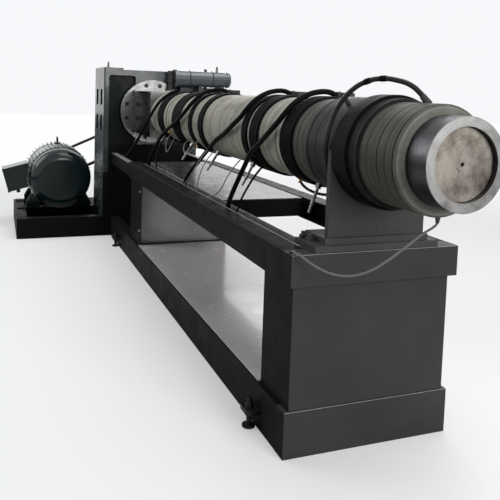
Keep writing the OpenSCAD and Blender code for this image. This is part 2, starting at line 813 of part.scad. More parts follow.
// Skid under the gearbox stand and the motor: three channels along X between two along Y
module drive_skid_sides() {
    inner_len = skid_len - 2 * skid_flange;
    color([0.06, 0.06, 0.06]) translate([stand_front - skid_len + skid_flange, 0, 0]) {
        translate([0, skid_y0, 0]) channel(inner_len, rail_h, skid_flange);
        translate([0, -gearbox_half_w, 0]) channel(inner_len, rail_h, skid_flange);
        translate([0, gearbox_half_w, 0]) mirror([0, 1, 0])
            channel(inner_len, rail_h, skid_flange);
    }
}
module drive_skid_ends() {
    width = gearbox_half_w - skid_y0;
    color([0.06, 0.06, 0.06]) for (end = [0, 1])
        translate([stand_front - end * skid_len, skid_y0, 0]) mirror([end, 0, 0]) {
            rotate([0, 0, 90]) channel(width, rail_h, skid_flange);
            for (y = [0, width - channel_t])
                translate([-skid_flange, y, channel_t])
                    cube([skid_flange - channel_t, channel_t, rail_h - 2 * channel_t]);
        }
}
// Slotted rails across the skid, on which the motor slides to tighten the belts
module motor_slide_rails() {
    slot_w = 18;
    slot_depth = 6;
    margin = 20;
    len = -gearbox_half_w - slide_gap - skid_y0 - margin;
    color([0.1, 0.1, 0.1]) for (x = motor_foot_x)
        translate([x - slide_w / 2, skid_y0 + margin, rail_h]) difference() {
            cube([slide_w, len, slide_h]);
            translate([(slide_w - slot_w) / 2, margin, slide_h - slot_depth])
                cube([slot_w, len - 2 * margin, slot_depth + 1]);
        }
}

module at_motor() {
    translate([0, -motor_y, motor_axis_z]) children();
}
// Finned motor frame with a lifting eye
module motor_frame() {
    fin_count = 44;
    fin_t = 6;
    fin_root = 30;
    body_r = cowl_d / 2 - 12;
    color([0.08, 0.15, 0.15]) at_motor() {
        translate([motor_frame_x0, 0, 0]) rotate([90, 0, 90]) linear_extrude(motor_len) union() {
            circle(r = body_r, $fn = round_fn);
            for (i = [0:fin_count - 1]) rotate(360 / fin_count * i)
                translate([cowl_d / 2 - fin_root, -fin_t / 2])
                    square([motor_fin_d / 2 - cowl_d / 2 + fin_root, fin_t]);
        }
        translate([motor_frame_x0 + motor_len / 2, 0, motor_fin_d / 2 - 1]) lifting_eye(24, 8);
    }
}
// Domed cowl over the fan
module motor_cowl() {
    edge_r = 95;
    lip_w = 12;
    lip_out = 6;
    color([0.08, 0.15, 0.15]) at_motor() translate([frame_x1, 0, 0]) turned_x() {
        square([cowl_d / 2, cowl_len - edge_r]);
        square([cowl_d / 2 + lip_out, lip_w]);
        translate([0, cowl_len - edge_r]) square([cowl_d / 2 - edge_r, edge_r]);
        intersection() {
            translate([cowl_d / 2 - edge_r, cowl_len - edge_r]) circle(r = edge_r, $fn = 48);
            translate([cowl_d / 2 - edge_r, cowl_len - edge_r]) square([edge_r, edge_r]);
        }
    }
}
// Four feet: a plate with two sloping ribs up to the frame
module motor_feet() {
    foot_w = 90;
    foot_len = 120;
    plate_t = 22;
    rib_t = 16;
    rib_h = 150;
    color([0.08, 0.15, 0.15])
        for (x = motor_foot_x) for (side = [0, 1]) translate([x, -motor_y, rail_h + slide_h])
            mirror([0, side, 0]) difference() {
                union() {
                    translate([-foot_w / 2, -foot_pitch_y / 2 - foot_len / 2, 0])
                        cube([foot_w, foot_len, plate_t]);
                    for (dx = [-foot_w / 2, foot_w / 2 - rib_t])
                        translate([dx, -foot_pitch_y / 2, 0]) rotate([90, 0, 90]) linear_extrude(rib_t)
                            polygon([[-foot_len / 2, plate_t], [foot_len / 2, plate_t],
                                     [foot_len / 2, rib_h], [0, rib_h], [-foot_len / 2, 2 * plate_t]]);
                }
                translate([-foot_w, 0, motor_shaft_h]) rod_x(0, 2 * foot_w, motor_fin_d / 2);
            }
}
// Drive end shield with a stepped bearing boss
module motor_drive_shield() {
    edge = 18;
    boss_r = 120;
    rim_r = cowl_d / 2 - edge / 2;
    color([0.08, 0.15, 0.15]) at_motor() translate([shield_x0, 0, 0]) turned_x()
        polygon([
            [0, 0], [boss_r, 0], [boss_r, shaft_boss_len], [rim_r - edge, shaft_boss_len],
            [rim_r, shaft_boss_len + edge], [rim_r, shaft_boss_len + shield_len],
            [0, shaft_boss_len + shield_len]
        ]);
}
// Terminal box on the near side, with its lid and two cable glands
module terminal_box() {
    box = [240, 216, 215];
    tilt = 15;
    box_y0 = -164 - motor_fin_d / 2;
    box_z0 = -20;
    front_gap = 20;
    lid_t = 14;
    lid_out = 5;
    gland_r = 17;
    gland_len = 34;
    gland_x = [70, 170];
    gland_y = 70;
    x0 = frame_x1 - front_gap - box[0];
    color([0.08, 0.15, 0.15]) at_motor() difference() {
        rotate([tilt, 0, 0]) translate([x0, box_y0, box_z0]) {
            cube(box);
            translate([-lid_out, -lid_t, -lid_out])
                cube([box[0] + 2 * lid_out, lid_t, box[2] + 2 * lid_out]);
            for (x = gland_x) translate([x, gland_y, -gland_len])
                cylinder(h = gland_len, r = gland_r, $fn = small_fn);
        }
        rod_x(x0 - 1, x0 + box[0] + 1, motor_fin_d / 2);
    }
}

// Half width of a belt at a radius
function belt_half(r) = belt_top_w / 2 - (belt_out_r - r) * tan(flank_angle);
// Pulley with a rim, a web, a hub and one wedge groove for each belt
module pulley() {
    rim_t = 34;
    web_t = 30;
    hub_r = 70;
    rim_r = pulley_d / 2;
    floor_r = belt_in_r - groove_floor;
    floor_half = belt_half(floor_r) + belt_clearance;
    mouth_r = rim_r + 1;
    mouth_half = belt_half(mouth_r) + belt_clearance;
    translate([pulley_x - pulley_w / 2, 0, 0]) turned_x() difference() {
        union() {
            translate([rim_r - rim_t, 0]) square([rim_t, pulley_w]);
            square([hub_r, pulley_w]);
            translate([0, (pulley_w - web_t) / 2]) square([rim_r, web_t]);
        }
        for (i = [0:belt_count - 1])
            translate([0, pulley_w / 2 + (i - (belt_count - 1) / 2) * belt_pitch])
                polygon([[floor_r, -floor_half], [mouth_r, -mouth_half], [mouth_r, mouth_half],
                         [floor_r, floor_half]]);
    }
}
module motor_pulley() {
    color([0.3, 0.3, 0.3]) at_motor() {
        pulley();
        rod_x(pulley_x + pulley_w / 2, shield_x0, shaft_r);
    }
}
module gearbox_pulley() {
    color([0.3, 0.3, 0.3]) translate([0, input_y, input_z]) {
        pulley();
        rod_x(pulley_x + pulley_w / 2, sleeve_x0, shaft_r);
    }
}
// Bearing sleeve of the input shaft, flanged to the back of the gearbox and ribbed
module gearbox_input_sleeve() {
    flange_r = 160;
    base_t = 26;
    root_r = 118;
    tip_r = 96;
    collar_r = 108;
    collar_w = 30;
    rib_t = 16;
    rib_len = 240;
    len = gearbox_rear - sleeve_x0;
    color([0.38, 0.44, 0.44]) translate([0, input_y, input_z]) {
        translate([sleeve_x0, 0, 0]) turned_x()
            polygon([[0, 0], [collar_r, 0], [collar_r, collar_w], [tip_r, collar_w], [root_r, len - base_t],
                     [flange_r, len - base_t], [flange_r, len], [0, len]]);
        for (a = [0:90:270]) rotate([a, 0, 0])
            translate([gearbox_rear - base_t, rib_t / 2, 0]) rotate([90, 0, 0]) linear_extrude(rib_t)
                polygon([[0, 0], [0, flange_r - 6], [-rib_len, tip_r + 4], [-rib_len, 0]]);
    }
}

module belt_section() {
    polygon([[belt_in_r, -belt_half(belt_in_r)], [belt_out_r, -belt_top_w / 2],
             [belt_out_r, belt_top_w / 2], [belt_in_r, belt_half(belt_in_r)]]);
}
// One endless wedge belt round two equal pulleys at p and q
module wedge_belt(p, q) {
    d = norm(q - p);
    translate(p) rotate(atan2(q[1] - p[1], q[0] - p[0])) {
        rotate(90) rotate_extrude(angle = 180, $fn = round_fn) belt_section();
        translate([d, 0, 0]) rotate(-90) rotate_extrude(angle = 180, $fn = round_fn) belt_section();
        for (side = [0, 1]) mirror([0, side, 0])
            rotate([90, 0, 90]) linear_extrude(d) belt_section();
    }
}
module drive_belts() {
    color([0.03, 0.03, 0.03])
        for (i = [0:belt_count - 1])
            translate([pulley_x + (i - (belt_count - 1) / 2) * belt_pitch, 0, 0])
                rotate([90, 0, 90]) wedge_belt([-motor_y, motor_axis_z], [input_y, input_z]);
}

// Levelling bolts in round-nosed lugs on the outer faces of the base rails
module levelling_feet() {
    lug_x = [6 - front_pedestal_depth, stand_front + 415];
    lug_z = 62;
    lug_w = 90;
    lug_t = 18;
    lug_out = 52;
    bolt_at = 26;
    bolt_r = 10;
    bolt_top = 117;
    pad_r = 26;
    pad_h = 10;
    nut_r = 17;
    nut_h = 16;
    nose_r = 20;
    color([0.12, 0.12, 0.12])
        for (side = [0, 1]) mirror([0, side, 0])
            for (x = lug_x) translate([x, -rail_half_w, 0]) {
                translate([-lug_w / 2, -lug_out, lug_z]) linear_extrude(lug_t) {
                    translate([nose_r, 0]) square([lug_w - 2 * nose_r, lug_out]);
                    translate([0, nose_r]) square([lug_w, lug_out - nose_r]);
                    for (nose_x = [nose_r, lug_w - nose_r])
                        translate([nose_x, nose_r]) circle(r = nose_r, $fn = small_fn);
                }
                translate([0, -bolt_at, 0]) {
                    cylinder(h = pad_h, r = pad_r, $fn = small_fn);
                    cylinder(h = bolt_top, r = bolt_r, $fn = small_fn);
                    translate([0, 0, lug_z + lug_t]) cylinder(h = nut_h, r = nut_r, $fn = 6);
                    translate([0, 0, lug_z - nut_h]) cylinder(h = nut_h, r = nut_r, $fn = 6);
                }
            }
}

function heading(p, i) = p[min(i + 1, len(p) - 1)] - p[max(i - 1, 0)];
function unit(v) = v / norm(v);
// A tube of round section along a list of points; across is never in line with it
module cable(p, d, across) {
    sides = 8;
    points = [
        for (i = [0:len(p) - 1])
            let (t = unit(heading(p, i)), n = unit(cross(cross(t, across), t)), b = cross(t, n))
                for (k = [0:sides - 1])
                    p[i] + d / 2 * (cos(360 * k / sides) * n + sin(360 * k / sides) * b)
    ];
    walls = [
        for (i = [0:len(p) - 2]) for (k = [0:sides - 1])
            let (a = i * sides + k, b = i * sides + (k + 1) % sides) [a, a + sides, b + sides, b]
    ];
    last = (len(p) - 1) * sides;
    start_cap = [for (k = [0:sides - 1]) k];
    end_cap = [for (k = [sides - 1:-1:0]) last + k];
    polyhedron(points, concat([start_cap, end_cap], walls));
}
module heater_lead_1() {
    color([0.05, 0.05, 0.05]) cable(heater_lead_1_points, heater_lead_d, [-0.6, 0.8, 0]);
}
module heater_lead_2() {
    color([0.05, 0.05, 0.05]) cable(heater_lead_2_points, heater_lead_d, [-0.6, 0.8, 0]);
}
module heater_lead_3() {
    color([0.05, 0.05, 0.05]) cable(heater_lead_3_points, heater_lead_d, [-0.6, 0.8, 0]);
}
module hose_arch() {
    color([0.08, 0.08, 0.08]) cable(hose_points, hose_d, [-0.6, 0.8, 0]);
}
module hanging_lead() {
    color([0.7, 0.7, 0.7]) cable(hanging_lead_points, hanging_lead_d, [-0.7, 0.7, 0]);
}

base_rail_near();
base_rail_far();
front_plinth();
base_cross_bars();
base_plate();
top_beam_near();
top_beam_far();
front_rim();
rear_cross_beam();
frame_cross_bars();
deck_plate();
front_cabinet();
front_panel();
rear_pedestal();
rear_side_beams();
cable_tray();
gearbox_stand();
gearbox_housing();
gearbox_eyebolt();
output_flange();
flange_screws();
feed_block();
barrel_tube();
heater_jacket_1();
heater_jacket_2();
heater_jacket_3();
heater_jacket_4();
heater_jacket_5();
saddle_cover();
cable_straps();
heater_terminals();
thermocouples();
head_ring();
blank_disc();
barrel_support();
support_feet();
oil_cooler();
cooler_valve();
cooler_bracket();
drive_skid_sides();
drive_skid_ends();
motor_slide_rails();
motor_frame();
motor_cowl();
motor_feet();
motor_drive_shield();
terminal_box();
motor_pulley();
gearbox_input_sleeve();
gearbox_pulley();
drive_belts();
levelling_feet();
heater_lead_1();
heater_lead_2();
heater_lead_3();
hose_arch();
hanging_lead();
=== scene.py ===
import math

import bmesh
import bpy
from mathutils import Matrix, Vector
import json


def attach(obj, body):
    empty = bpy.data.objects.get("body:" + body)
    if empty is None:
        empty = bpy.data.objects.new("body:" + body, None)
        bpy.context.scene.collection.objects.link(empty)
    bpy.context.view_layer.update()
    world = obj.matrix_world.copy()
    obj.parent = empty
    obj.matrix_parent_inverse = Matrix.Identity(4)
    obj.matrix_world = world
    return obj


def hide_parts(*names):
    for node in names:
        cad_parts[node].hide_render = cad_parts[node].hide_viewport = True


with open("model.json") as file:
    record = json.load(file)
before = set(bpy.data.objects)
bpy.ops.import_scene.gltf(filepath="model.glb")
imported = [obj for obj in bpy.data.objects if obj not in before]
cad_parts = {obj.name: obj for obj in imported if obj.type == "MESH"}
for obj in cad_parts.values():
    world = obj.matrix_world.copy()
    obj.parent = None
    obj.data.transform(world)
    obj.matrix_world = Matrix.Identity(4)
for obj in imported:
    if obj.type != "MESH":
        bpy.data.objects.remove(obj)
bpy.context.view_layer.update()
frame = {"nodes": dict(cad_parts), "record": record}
nodes = frame["nodes"]
scene = bpy.context.scene

AXIS_Z = 1.1
BARREL = Vector((0, 0, AXIS_Z))
MOTOR = Vector((0, -0.745, 0.467))
DRIVE_SHAFT = Vector((0, -0.12, 0.748))

# Camera
EYE = Vector((2.020, -1.290, 1.288))
AHEAD = Vector((-0.92926, 0.36094, -0.07868))
UPWARDS = Vector((-0.08573, -0.00353, 0.99631))
LENS = 47.2
SHIFT_Y = -0.209


def make_camera():
    data = bpy.data.cameras.new("camera")
    data.lens = LENS
    data.sensor_width = 36
    data.shift_y = SHIFT_Y
    data.clip_end = 100
    camera = bpy.data.objects.new("camera", data)
    scene.collection.objects.link(camera)
    right = AHEAD.cross(UPWARDS)
    camera.matrix_world = Matrix.Translation(EYE) @ Matrix(
        (right, UPWARDS, -AHEAD)).transposed().to_4x4()
    scene.camera = camera


make_camera()


# Finishes
class Wiring:
    """A node tree being wired, with the coordinates that its patterns read."""

    def __init__(self, tree, coordinates):
        self.tree = tree
        self.coordinates = coordinates

    def plug(self, socket, value):
        if isinstance(value, bpy.types.NodeSocket):
            self.tree.links.new(value, socket)
        else:
            socket.default_value = value

    def node(self, kind, values=None, **settings):
        made = self.tree.nodes.new(kind)
        for key, value in settings.items():
            setattr(made, key, value)
        for key, value in (values or {}).items():
            self.plug(made.inputs[key], value)
        return made

    def noise(self, scale, detail=4.0, rough=0.55, stretch=(1, 1, 1)):
        mapped = self.node("ShaderNodeMapping", {"Vector": self.coordinates, "Scale": stretch})
        return self.node("ShaderNodeTexNoise", {
            "Vector": mapped.outputs[0], "Scale": scale, "Detail": detail, "Roughness": rough,
        }).outputs["Fac"]

    def ramp(self, fac, low, high, to_low=0.0, to_high=1.0):
        return self.node("ShaderNodeMapRange", {
            "Value": fac, "From Min": low, "From Max": high, "To Min": to_low, "To Max": to_high,
        }).outputs[0]

    def maths(self, operation, a, b=0.0):
        return self.node("ShaderNodeMath", {0: a, 1: b}, operation=operation).outputs[0]

    def mix(self, fac, a, b, mode="MIX"):
        made = self.node("ShaderNodeMix", data_type="RGBA", blend_type=mode)
        for index, value in ((0, fac), (6, a), (7, b)):
            self.plug(made.inputs[index], value)
        return made.outputs[2]


class Group(Wiring):
    """A shader group with named inputs and outputs, built once and placed in many finishes."""

    def __init__(self, name, inputs, outputs):
        tree = bpy.data.node_groups.new(name, "ShaderNodeTree")
        for label, kind in inputs.items():
            tree.interface.new_socket(label, in_out="INPUT", socket_type=kind)
        for label, kind in outputs.items():
            tree.interface.new_socket(label, in_out="OUTPUT", socket_type=kind)
        self.given = tree.nodes.new("NodeGroupInput").outputs
        self.result = tree.nodes.new("NodeGroupOutput").inputs
        super().__init__(tree, self.given["Coordinates"])


VECTOR = "NodeSocketVector"
FLOAT = "NodeSocketFloat"
COLOUR = "NodeSocketColor"


def make_weathering():
    """Clouds in a colour, dust on what faces up, and an uneven gloss."""
    g = Group("weathering",
              {"Coordinates": VECTOR, "Colour": COLOUR, "Clouds": FLOAT, "Dust": FLOAT, "Gloss": FLOAT},
              {"Colour": COLOUR, "Roughness": FLOAT, "Height": FLOAT})
    cloud = g.ramp(g.noise(2.3, 6.0, 0.6), 0.3, 0.72)
    lighter = g.mix(1.0, g.given["Colour"], (1.5, 1.5, 1.5, 1), "MULTIPLY")
    colour = g.mix(g.maths("MULTIPLY", cloud, g.given["Clouds"]), g.given["Colour"], lighter)
    normal = g.node("ShaderNodeNewGeometry").outputs["Normal"]
    facing_up = g.ramp(g.node("ShaderNodeSeparateXYZ", {0: normal}).outputs[2], 0.5, 1.0, 0.15, 1.0)
    grime = g.maths("MULTIPLY", g.ramp(g.noise(11.0, 8.0, 0.7), 0.45, 0.8), facing_up)
    dusty = g.maths("MULTIPLY", grime, g.given["Dust"])
    g.plug(g.result["Colour"], g.mix(dusty, colour, (0.3, 0.28, 0.25, 1)))
    patches = g.ramp(g.noise(13.0, 5.0), 0.3, 0.75, 0.8, 1.3)
    rough = g.maths("MULTIPLY", patches, g.given["Gloss"])
    g.plug(g.result["Roughness"], g.maths("ADD", rough, g.maths("MULTIPLY", dusty, 0.6)))
    g.plug(g.result["Height"], g.noise(240.0, 2.0))
    return g.tree


def make_turning():
    """Lines left by turning: bands along X and rings round a centre line."""
    g = Group("turning", {"Coordinates": VECTOR, "Centre": VECTOR, "Fineness": FLOAT},
              {"Bands": FLOAT, "Rings": FLOAT})
    offset = g.node("ShaderNodeVectorMath", {0: g.coordinates, 1: g.given["Centre"]}, operation="SUBTRACT")
    parts = g.node("ShaderNodeSeparateXYZ", {0: offset.outputs[0]}).outputs
    square = g.maths("ADD", g.maths("MULTIPLY", parts[1], parts[1]),
                     g.maths("MULTIPLY", parts[2], parts[2]))
    for label, place in (("Bands", parts[0]), ("Rings", g.maths("SQRT", square))):
        lines = g.node("ShaderNodeTexNoise", {"W": place, "Scale": g.given["Fineness"], "Detail": 3.0,
                                              "Roughness": 0.65}, noise_dimensions="1D")
        g.plug(g.result[label], lines.outputs["Fac"])
    return g.tree


def make_scratching():
    """Fine brushed scratches along X, broken up by patches."""
    g = Group("scratching", {"Coordinates": VECTOR, "Fineness": FLOAT},
              {"Scratches": FLOAT, "Patches": FLOAT})
    mapped = g.node("ShaderNodeMapping", {"Vector": g.coordinates, "Scale": (0.04, 1, 1)})
    fine = g.node("ShaderNodeTexNoise", {"Vector": mapped.outputs[0], "Scale": g.given["Fineness"],
                                         "Detail": 3.0, "Roughness": 0.6})
    g.plug(g.result["Scratches"], fine.outputs["Fac"])
    g.plug(g.result["Patches"], g.noise(17.0, 6.0, 0.65))
    return g.tree


WEATHERING = make_weathering()
TURNING = make_turning()
SCRATCHING = make_scratching()


class Finish(Wiring):
    """A material being made, with the shared groups placed in it by name."""

    def __init__(self, name):
        self.material = bpy.data.materials.new(name)
        self.material.use_nodes = True
        tree = self.material.node_tree
        self.bsdf = tree.nodes["Principled BSDF"]
        super().__init__(tree, tree.nodes.new("ShaderNodeTexCoord").outputs["Object"])

    def use(self, group, values):
        placed = self.node("ShaderNodeGroup", node_tree=group)
        self.plug(placed.inputs["Coordinates"], self.coordinates)
        for key, value in values.items():
            self.plug(placed.inputs[key], value)
        return placed.outputs

    def set(self, key, value):
        self.plug(self.bsdf.inputs[key], value)

    def bump(self, height, strength, distance=0.001):
        self.set("Normal", self.node("ShaderNodeBump", {
            "Height": height, "Strength": strength, "Distance": distance}).outputs[0])


def solid(colour, times=1.0):
    return tuple(c * times for c in colour) + (1.0,)


def paint(name, colour, gloss, clouds=0.4, dust=0.15, peel=0.1, specular=0.5, coat=0.0):
    """Paint with faint orange peel, clouds and dust."""
    f = Finish(name)
    worn = f.use(WEATHERING, {"Colour": solid(colour), "Clouds": clouds, "Dust": dust, "Gloss": gloss})
    f.set("Base Color", worn["Colour"])
    f.set("Roughness", worn["Roughness"])
    f.set("Specular IOR Level", specular)
    f.set("Coat Weight", coat)
    f.set("Coat Roughness", 0.08)
    f.bump(worn["Height"], peel, 0.0004)
    return f.material


def turned_steel(name, colour, rough, lines="Bands", fineness=420.0, stain=0.0, centre=(0, 0, AXIS_Z)):
    """Steel off the lathe, with its turning lines and some staining."""
    f = Finish(name)
    turning = f.use(TURNING, {"Centre": centre, "Fineness": fineness})[lines]
    base = f.mix(f.ramp(turning, 0.3, 0.7), solid(colour, 0.72), solid(colour))
    blots = f.ramp(f.noise(9.0, 9.0, 0.66), 0.46, 0.66, 0.0, stain)
    base = f.mix(blots, base, (0.07, 0.056, 0.045, 1))
    f.set("Base Color", base)
    f.set("Metallic", 1.0)
    f.set("Roughness", f.ramp(f.noise(26.0, 5.0), 0.3, 0.72, rough * 0.75, rough * 1.35))
    f.bump(turning, 0.12, 0.0003)
    return f.material


def brushed_steel(name, colour, rough, stain=0.1):
    """Rolled or ground steel with fine scratches and duller patches."""
    f = Finish(name)
    scratched = f.use(SCRATCHING, {"Fineness": 520.0})
    base = f.mix(f.ramp(scratched["Scratches"], 0.3, 0.7), solid(colour, 0.75), solid(colour))
    dull = f.ramp(scratched["Patches"], 0.5, 0.7, 0.0, stain)
    f.set("Base Color", f.mix(dull, base, solid(colour, 0.35)))
    f.set("Metallic", 1.0)
    f.set("Roughness", f.ramp(scratched["Patches"], 0.3, 0.7, rough * 0.75, rough * 1.3))
    f.bump(scratched["Scratches"], 0.1, 0.0003)
    return f.material


def jacket_sheet(name, colour, grime=0.45):
    """Painted sheet wrapped round the barrel: close fine lines, darker smears and a soft sheen."""
    f = Finish(name)
    lines = f.use(TURNING, {"Centre": (0, 0, AXIS_Z), "Fineness": 150.0})["Bands"]
    worn = f.use(WEATHERING, {"Colour": solid(colour), "Clouds": 0.5, "Dust": 0.1, "Gloss": 0.36})
    streak = f.ramp(lines, 0.38, 0.6, 0.8 - 0.5 * grime, 1.05)
    shade = f.node("ShaderNodeCombineColor", {0: streak, 1: streak, 2: streak}).outputs[0]
    base = f.mix(1.0, worn["Colour"], shade, "MULTIPLY")
    smear = f.ramp(f.noise(7.0, 7.0, 0.7, (0.35, 1, 1)), 0.48, 0.7, 0.0, grime)
    seams = f.use(TURNING, {"Centre": (0, 0, AXIS_Z), "Fineness": 34.0})["Bands"]
    stained = f.maths("MAXIMUM", smear, f.ramp(seams, 0.57, 0.63, 0.0, 1.1 * grime))
    f.set("Base Color", f.mix(stained, base, (0.045, 0.038, 0.03, 1)))
    f.set("Roughness", f.maths("ADD", worn["Roughness"], 0.18))
    f.set("Specular IOR Level", 0.15)
    f.bump(lines, 0.25, 0.0006)
    return f.material


def cable_sleeve(name, colour, rough, specular=0.05):
    """Rubber sleeve with a fine ribbed sheen."""
    f = Finish(name)
    worn = f.use(WEATHERING, {"Colour": solid(colour), "Clouds": 0.5, "Dust": 0.03, "Gloss": rough})
    f.set("Specular IOR Level", specular)
    f.set("Base Color", worn["Colour"])
    f.set("Roughness", worn["Roughness"])
    f.bump(f.noise(190.0, 3.0, 0.6), 0.35, 0.0006)
    return f.material


MATERIALS = {
    "frame_black": paint("frame_black", (0.0085, 0.0092, 0.0092), 0.4, 0.4, 0.02, specular=0.03),
    "panel_grey": paint("panel_grey", (0.033, 0.033, 0.032), 0.42, 0.9, 0.12, specular=0.15, coat=0.05),
    "gearbox_grey": paint("gearbox_grey", (0.042, 0.051, 0.054), 0.26, 0.2, 0.015, specular=0.3, coat=0.22),
    "tray_zinc": brushed_steel("tray_zinc", (0.36, 0.35, 0.34), 0.42),
    "machined_steel": brushed_steel("machined_steel", (0.2, 0.199, 0.196), 0.27, 0.15),
    "dark_steel": brushed_steel("dark_steel", (0.045, 0.045, 0.046), 0.4),
    "jacket": jacket_sheet("jacket", (0.4, 0.39, 0.33), 0.6),
    "support_black": paint("support_black", (0.045, 0.045, 0.044), 0.45, 0.9, 0.12, specular=0.15),
    "cable_black": cable_sleeve("cable_black", (0.004, 0.004, 0.0045), 0.5),
    "blued_steel": turned_steel("blued_steel", (0.068, 0.069, 0.073), 0.32, fineness=260.0),
    "stained_steel": turned_steel("stained_steel", (0.29, 0.268, 0.235), 0.44, "Rings", 300.0, 0.95),
    "cooler_grey": paint("cooler_grey", (0.09, 0.103, 0.112), 0.2, 0.2, 0.03, coat=0.5),
    "motor_green": paint("motor_green", (0.006, 0.0155, 0.0155), 0.16, 0.2, 0.01, specular=0.25, coat=0.25),
    "belt_rubber": cable_sleeve("belt_rubber", (0.012, 0.012, 0.012), 0.6),
    "deck_grey": paint("deck_grey", (0.31, 0.307, 0.3), 0.25, 0.5, 0.12, coat=0.2),
    "lead_grey": cable_sleeve("lead_grey", (0.3, 0.3, 0.295), 0.4),
    "brass": turned_steel("brass", (0.62, 0.38, 0.16), 0.28),
}
RING_FACE = turned_steel("ring_face", (0.33, 0.328, 0.32), 0.4, "Rings", 340.0, 0.35)
# The front jacket's sheet is much darker than the other jackets: partly dirt, partly painted shade cast by
# the saddle.
FRONT_SHEET_DIRT_AND_SHADE = jacket_sheet("front_sheet_dirt_and_shade", (0.085, 0.085, 0.07), 0.85)
# The front jacket's chamfer is lighter than its sheet: a painted highlight along the chamfered edge.
FRONT_CHAMFER_HIGHLIGHT = jacket_sheet("front_chamfer_painted_highlight", (0.17, 0.17, 0.15), 0.8)
# The saddle cover is a dark sheet, and its near-black tone also paints the shade the saddle sits in.
SADDLE_SHEET_DARK_AND_SHADED = jacket_sheet("saddle_sheet_dark_and_shaded", (0.007, 0.0073, 0.008))
HOSE_RUBBER = cable_sleeve("hose_rubber", (0.013, 0.013, 0.0135), 0.34, 0.25)
LEAD_SLEEVE = cable_sleeve("lead_sleeve", (0.13, 0.13, 0.127), 0.3, 0.4)
# Near-black paint for the inside of recesses, the gearbox pockets and the disc's centre hole: painted
# shade.
POCKET_SHADE = paint("pocket_painted_shade", (0.003, 0.006, 0.006), 0.4, 0.2, 0.02, specular=0.15)
# Near-black steel for the feed block's sides: a painted dark reflection.
STEEL_DARK_REFLECTION = brushed_steel("steel_painted_dark_reflection", (0.05, 0.05, 0.05), 0.18)
DECK_PAINT = paint("deck_paint", (0.04, 0.042, 0.042), 0.26, 0.8, 0.2, specular=0.3, coat=0.2)
# Light grey for the top front bevels of the rim and plinth and the tops of the rear side beams: a painted
# highlight.
TOP_PAINTED_HIGHLIGHT = paint("top_painted_highlight", (0.3, 0.3, 0.295), 0.35, 0.6, 0.05)
PLATE_PAINT = paint("plate_paint", (0.66, 0.63, 0.61), 0.22, 0.3, 0.1, coat=0.3)


def dress_solids():
    """Gives each solid of the frame the finish of its slot."""
    for sub in frame["record"]["subparts"]:
        solid_mesh = nodes[sub["node"]].data
        solid_mesh.materials.clear()
        solid_mesh.materials.append(MATERIALS[sub["material_slot"]])


dress_solids()


# Modelling
def deselect():
    bpy.ops.object.select_all(action="DESELECT")


def pick(*pieces):
    """Selects the pieces alone, with the first as the active one."""
    deselect()
    for piece in pieces:
        piece.select_set(True)
    bpy.context.view_layer.objects.active = pieces[0]


def edit(piece):
    """Opens a shape in edit mode with all of it selected."""
    pick(piece)
    bpy.ops.object.mode_set(mode="EDIT")
    bpy.ops.mesh.select_all(action="SELECT")


def leave():
    """Goes back to object mode."""
    bpy.ops.object.mode_set(mode="OBJECT")


def choose_faces(piece, test):
    """In edit mode, selects the faces whose middle and direction pass a test."""
    bpy.ops.mesh.select_all(action="DESELECT")
    mesh = bmesh.from_edit_mesh(piece.data)
    for face in mesh.faces:
        face.select_set(test(face.calc_center_median(), face.normal))
    mesh.select_flush_mode()
    bmesh.update_edit_mesh(piece.data)


def modify(piece, kind, **settings):
    """Adds a modifier and applies it."""
    pick(piece)
    made = piece.modifiers.new(kind.lower(), kind)
    for key, value in settings.items():
        setattr(made, key, value)
    bpy.ops.object.modifier_apply(modifier=made.name)


def place(piece, at=(0, 0, 0), turn=(0, 0, 0)):
    """Moves and turns a shape, then brings its place into its mesh."""
    pick(piece)
    piece.location = at
    piece.rotation_euler = turn
    bpy.ops.object.transform_apply(location=True, rotation=True, scale=True)
    return piece


def finish(piece, name, slot, material=None, smooth=30, stands_for=()):
    """Names and smooths a finished piece, gives it its own finish or that of its slot, puts it in its body
    and hides the nodes it stands for.
    """
    pick(piece)
    if smooth:
        bpy.ops.object.shade_smooth_by_angle(angle=math.radians(smooth))
    piece.name = name
    piece.data.name = name
    piece.data.materials.clear()
    piece.data.materials.append(material or MATERIALS[slot])
    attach(piece, "root")
    if stands_for:
        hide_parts(*stands_for)
    return piece


def join(shapes):
    """Joins shapes into the first of them."""
    pick(*shapes)
    if len(shapes) > 1:
        bpy.ops.object.join()
    return bpy.context.object


def copy_to(shape, spots):
    """Copies a shape, each copy with its own mesh, to (place, way up, turn) spots and joins them."""
    copies = []
    for at, up, turn in spots:
        copy = bpy.data.objects.new(shape.name, shape.data.copy())
        scene.collection.objects.link(copy)
        copy.matrix_world = (Matrix.Translation(Vector(at))
                             @ Vector((0, 0, 1)).rotation_difference(Vector(up)).to_matrix().to_4x4()
                             @ Matrix.Rotation(turn, 4, "Z"))
        copies.append(copy)
    bpy.data.objects.remove(shape)
    whole = join(copies)
    bpy.ops.object.transform_apply(location=True, rotation=True, scale=True)
    return whole


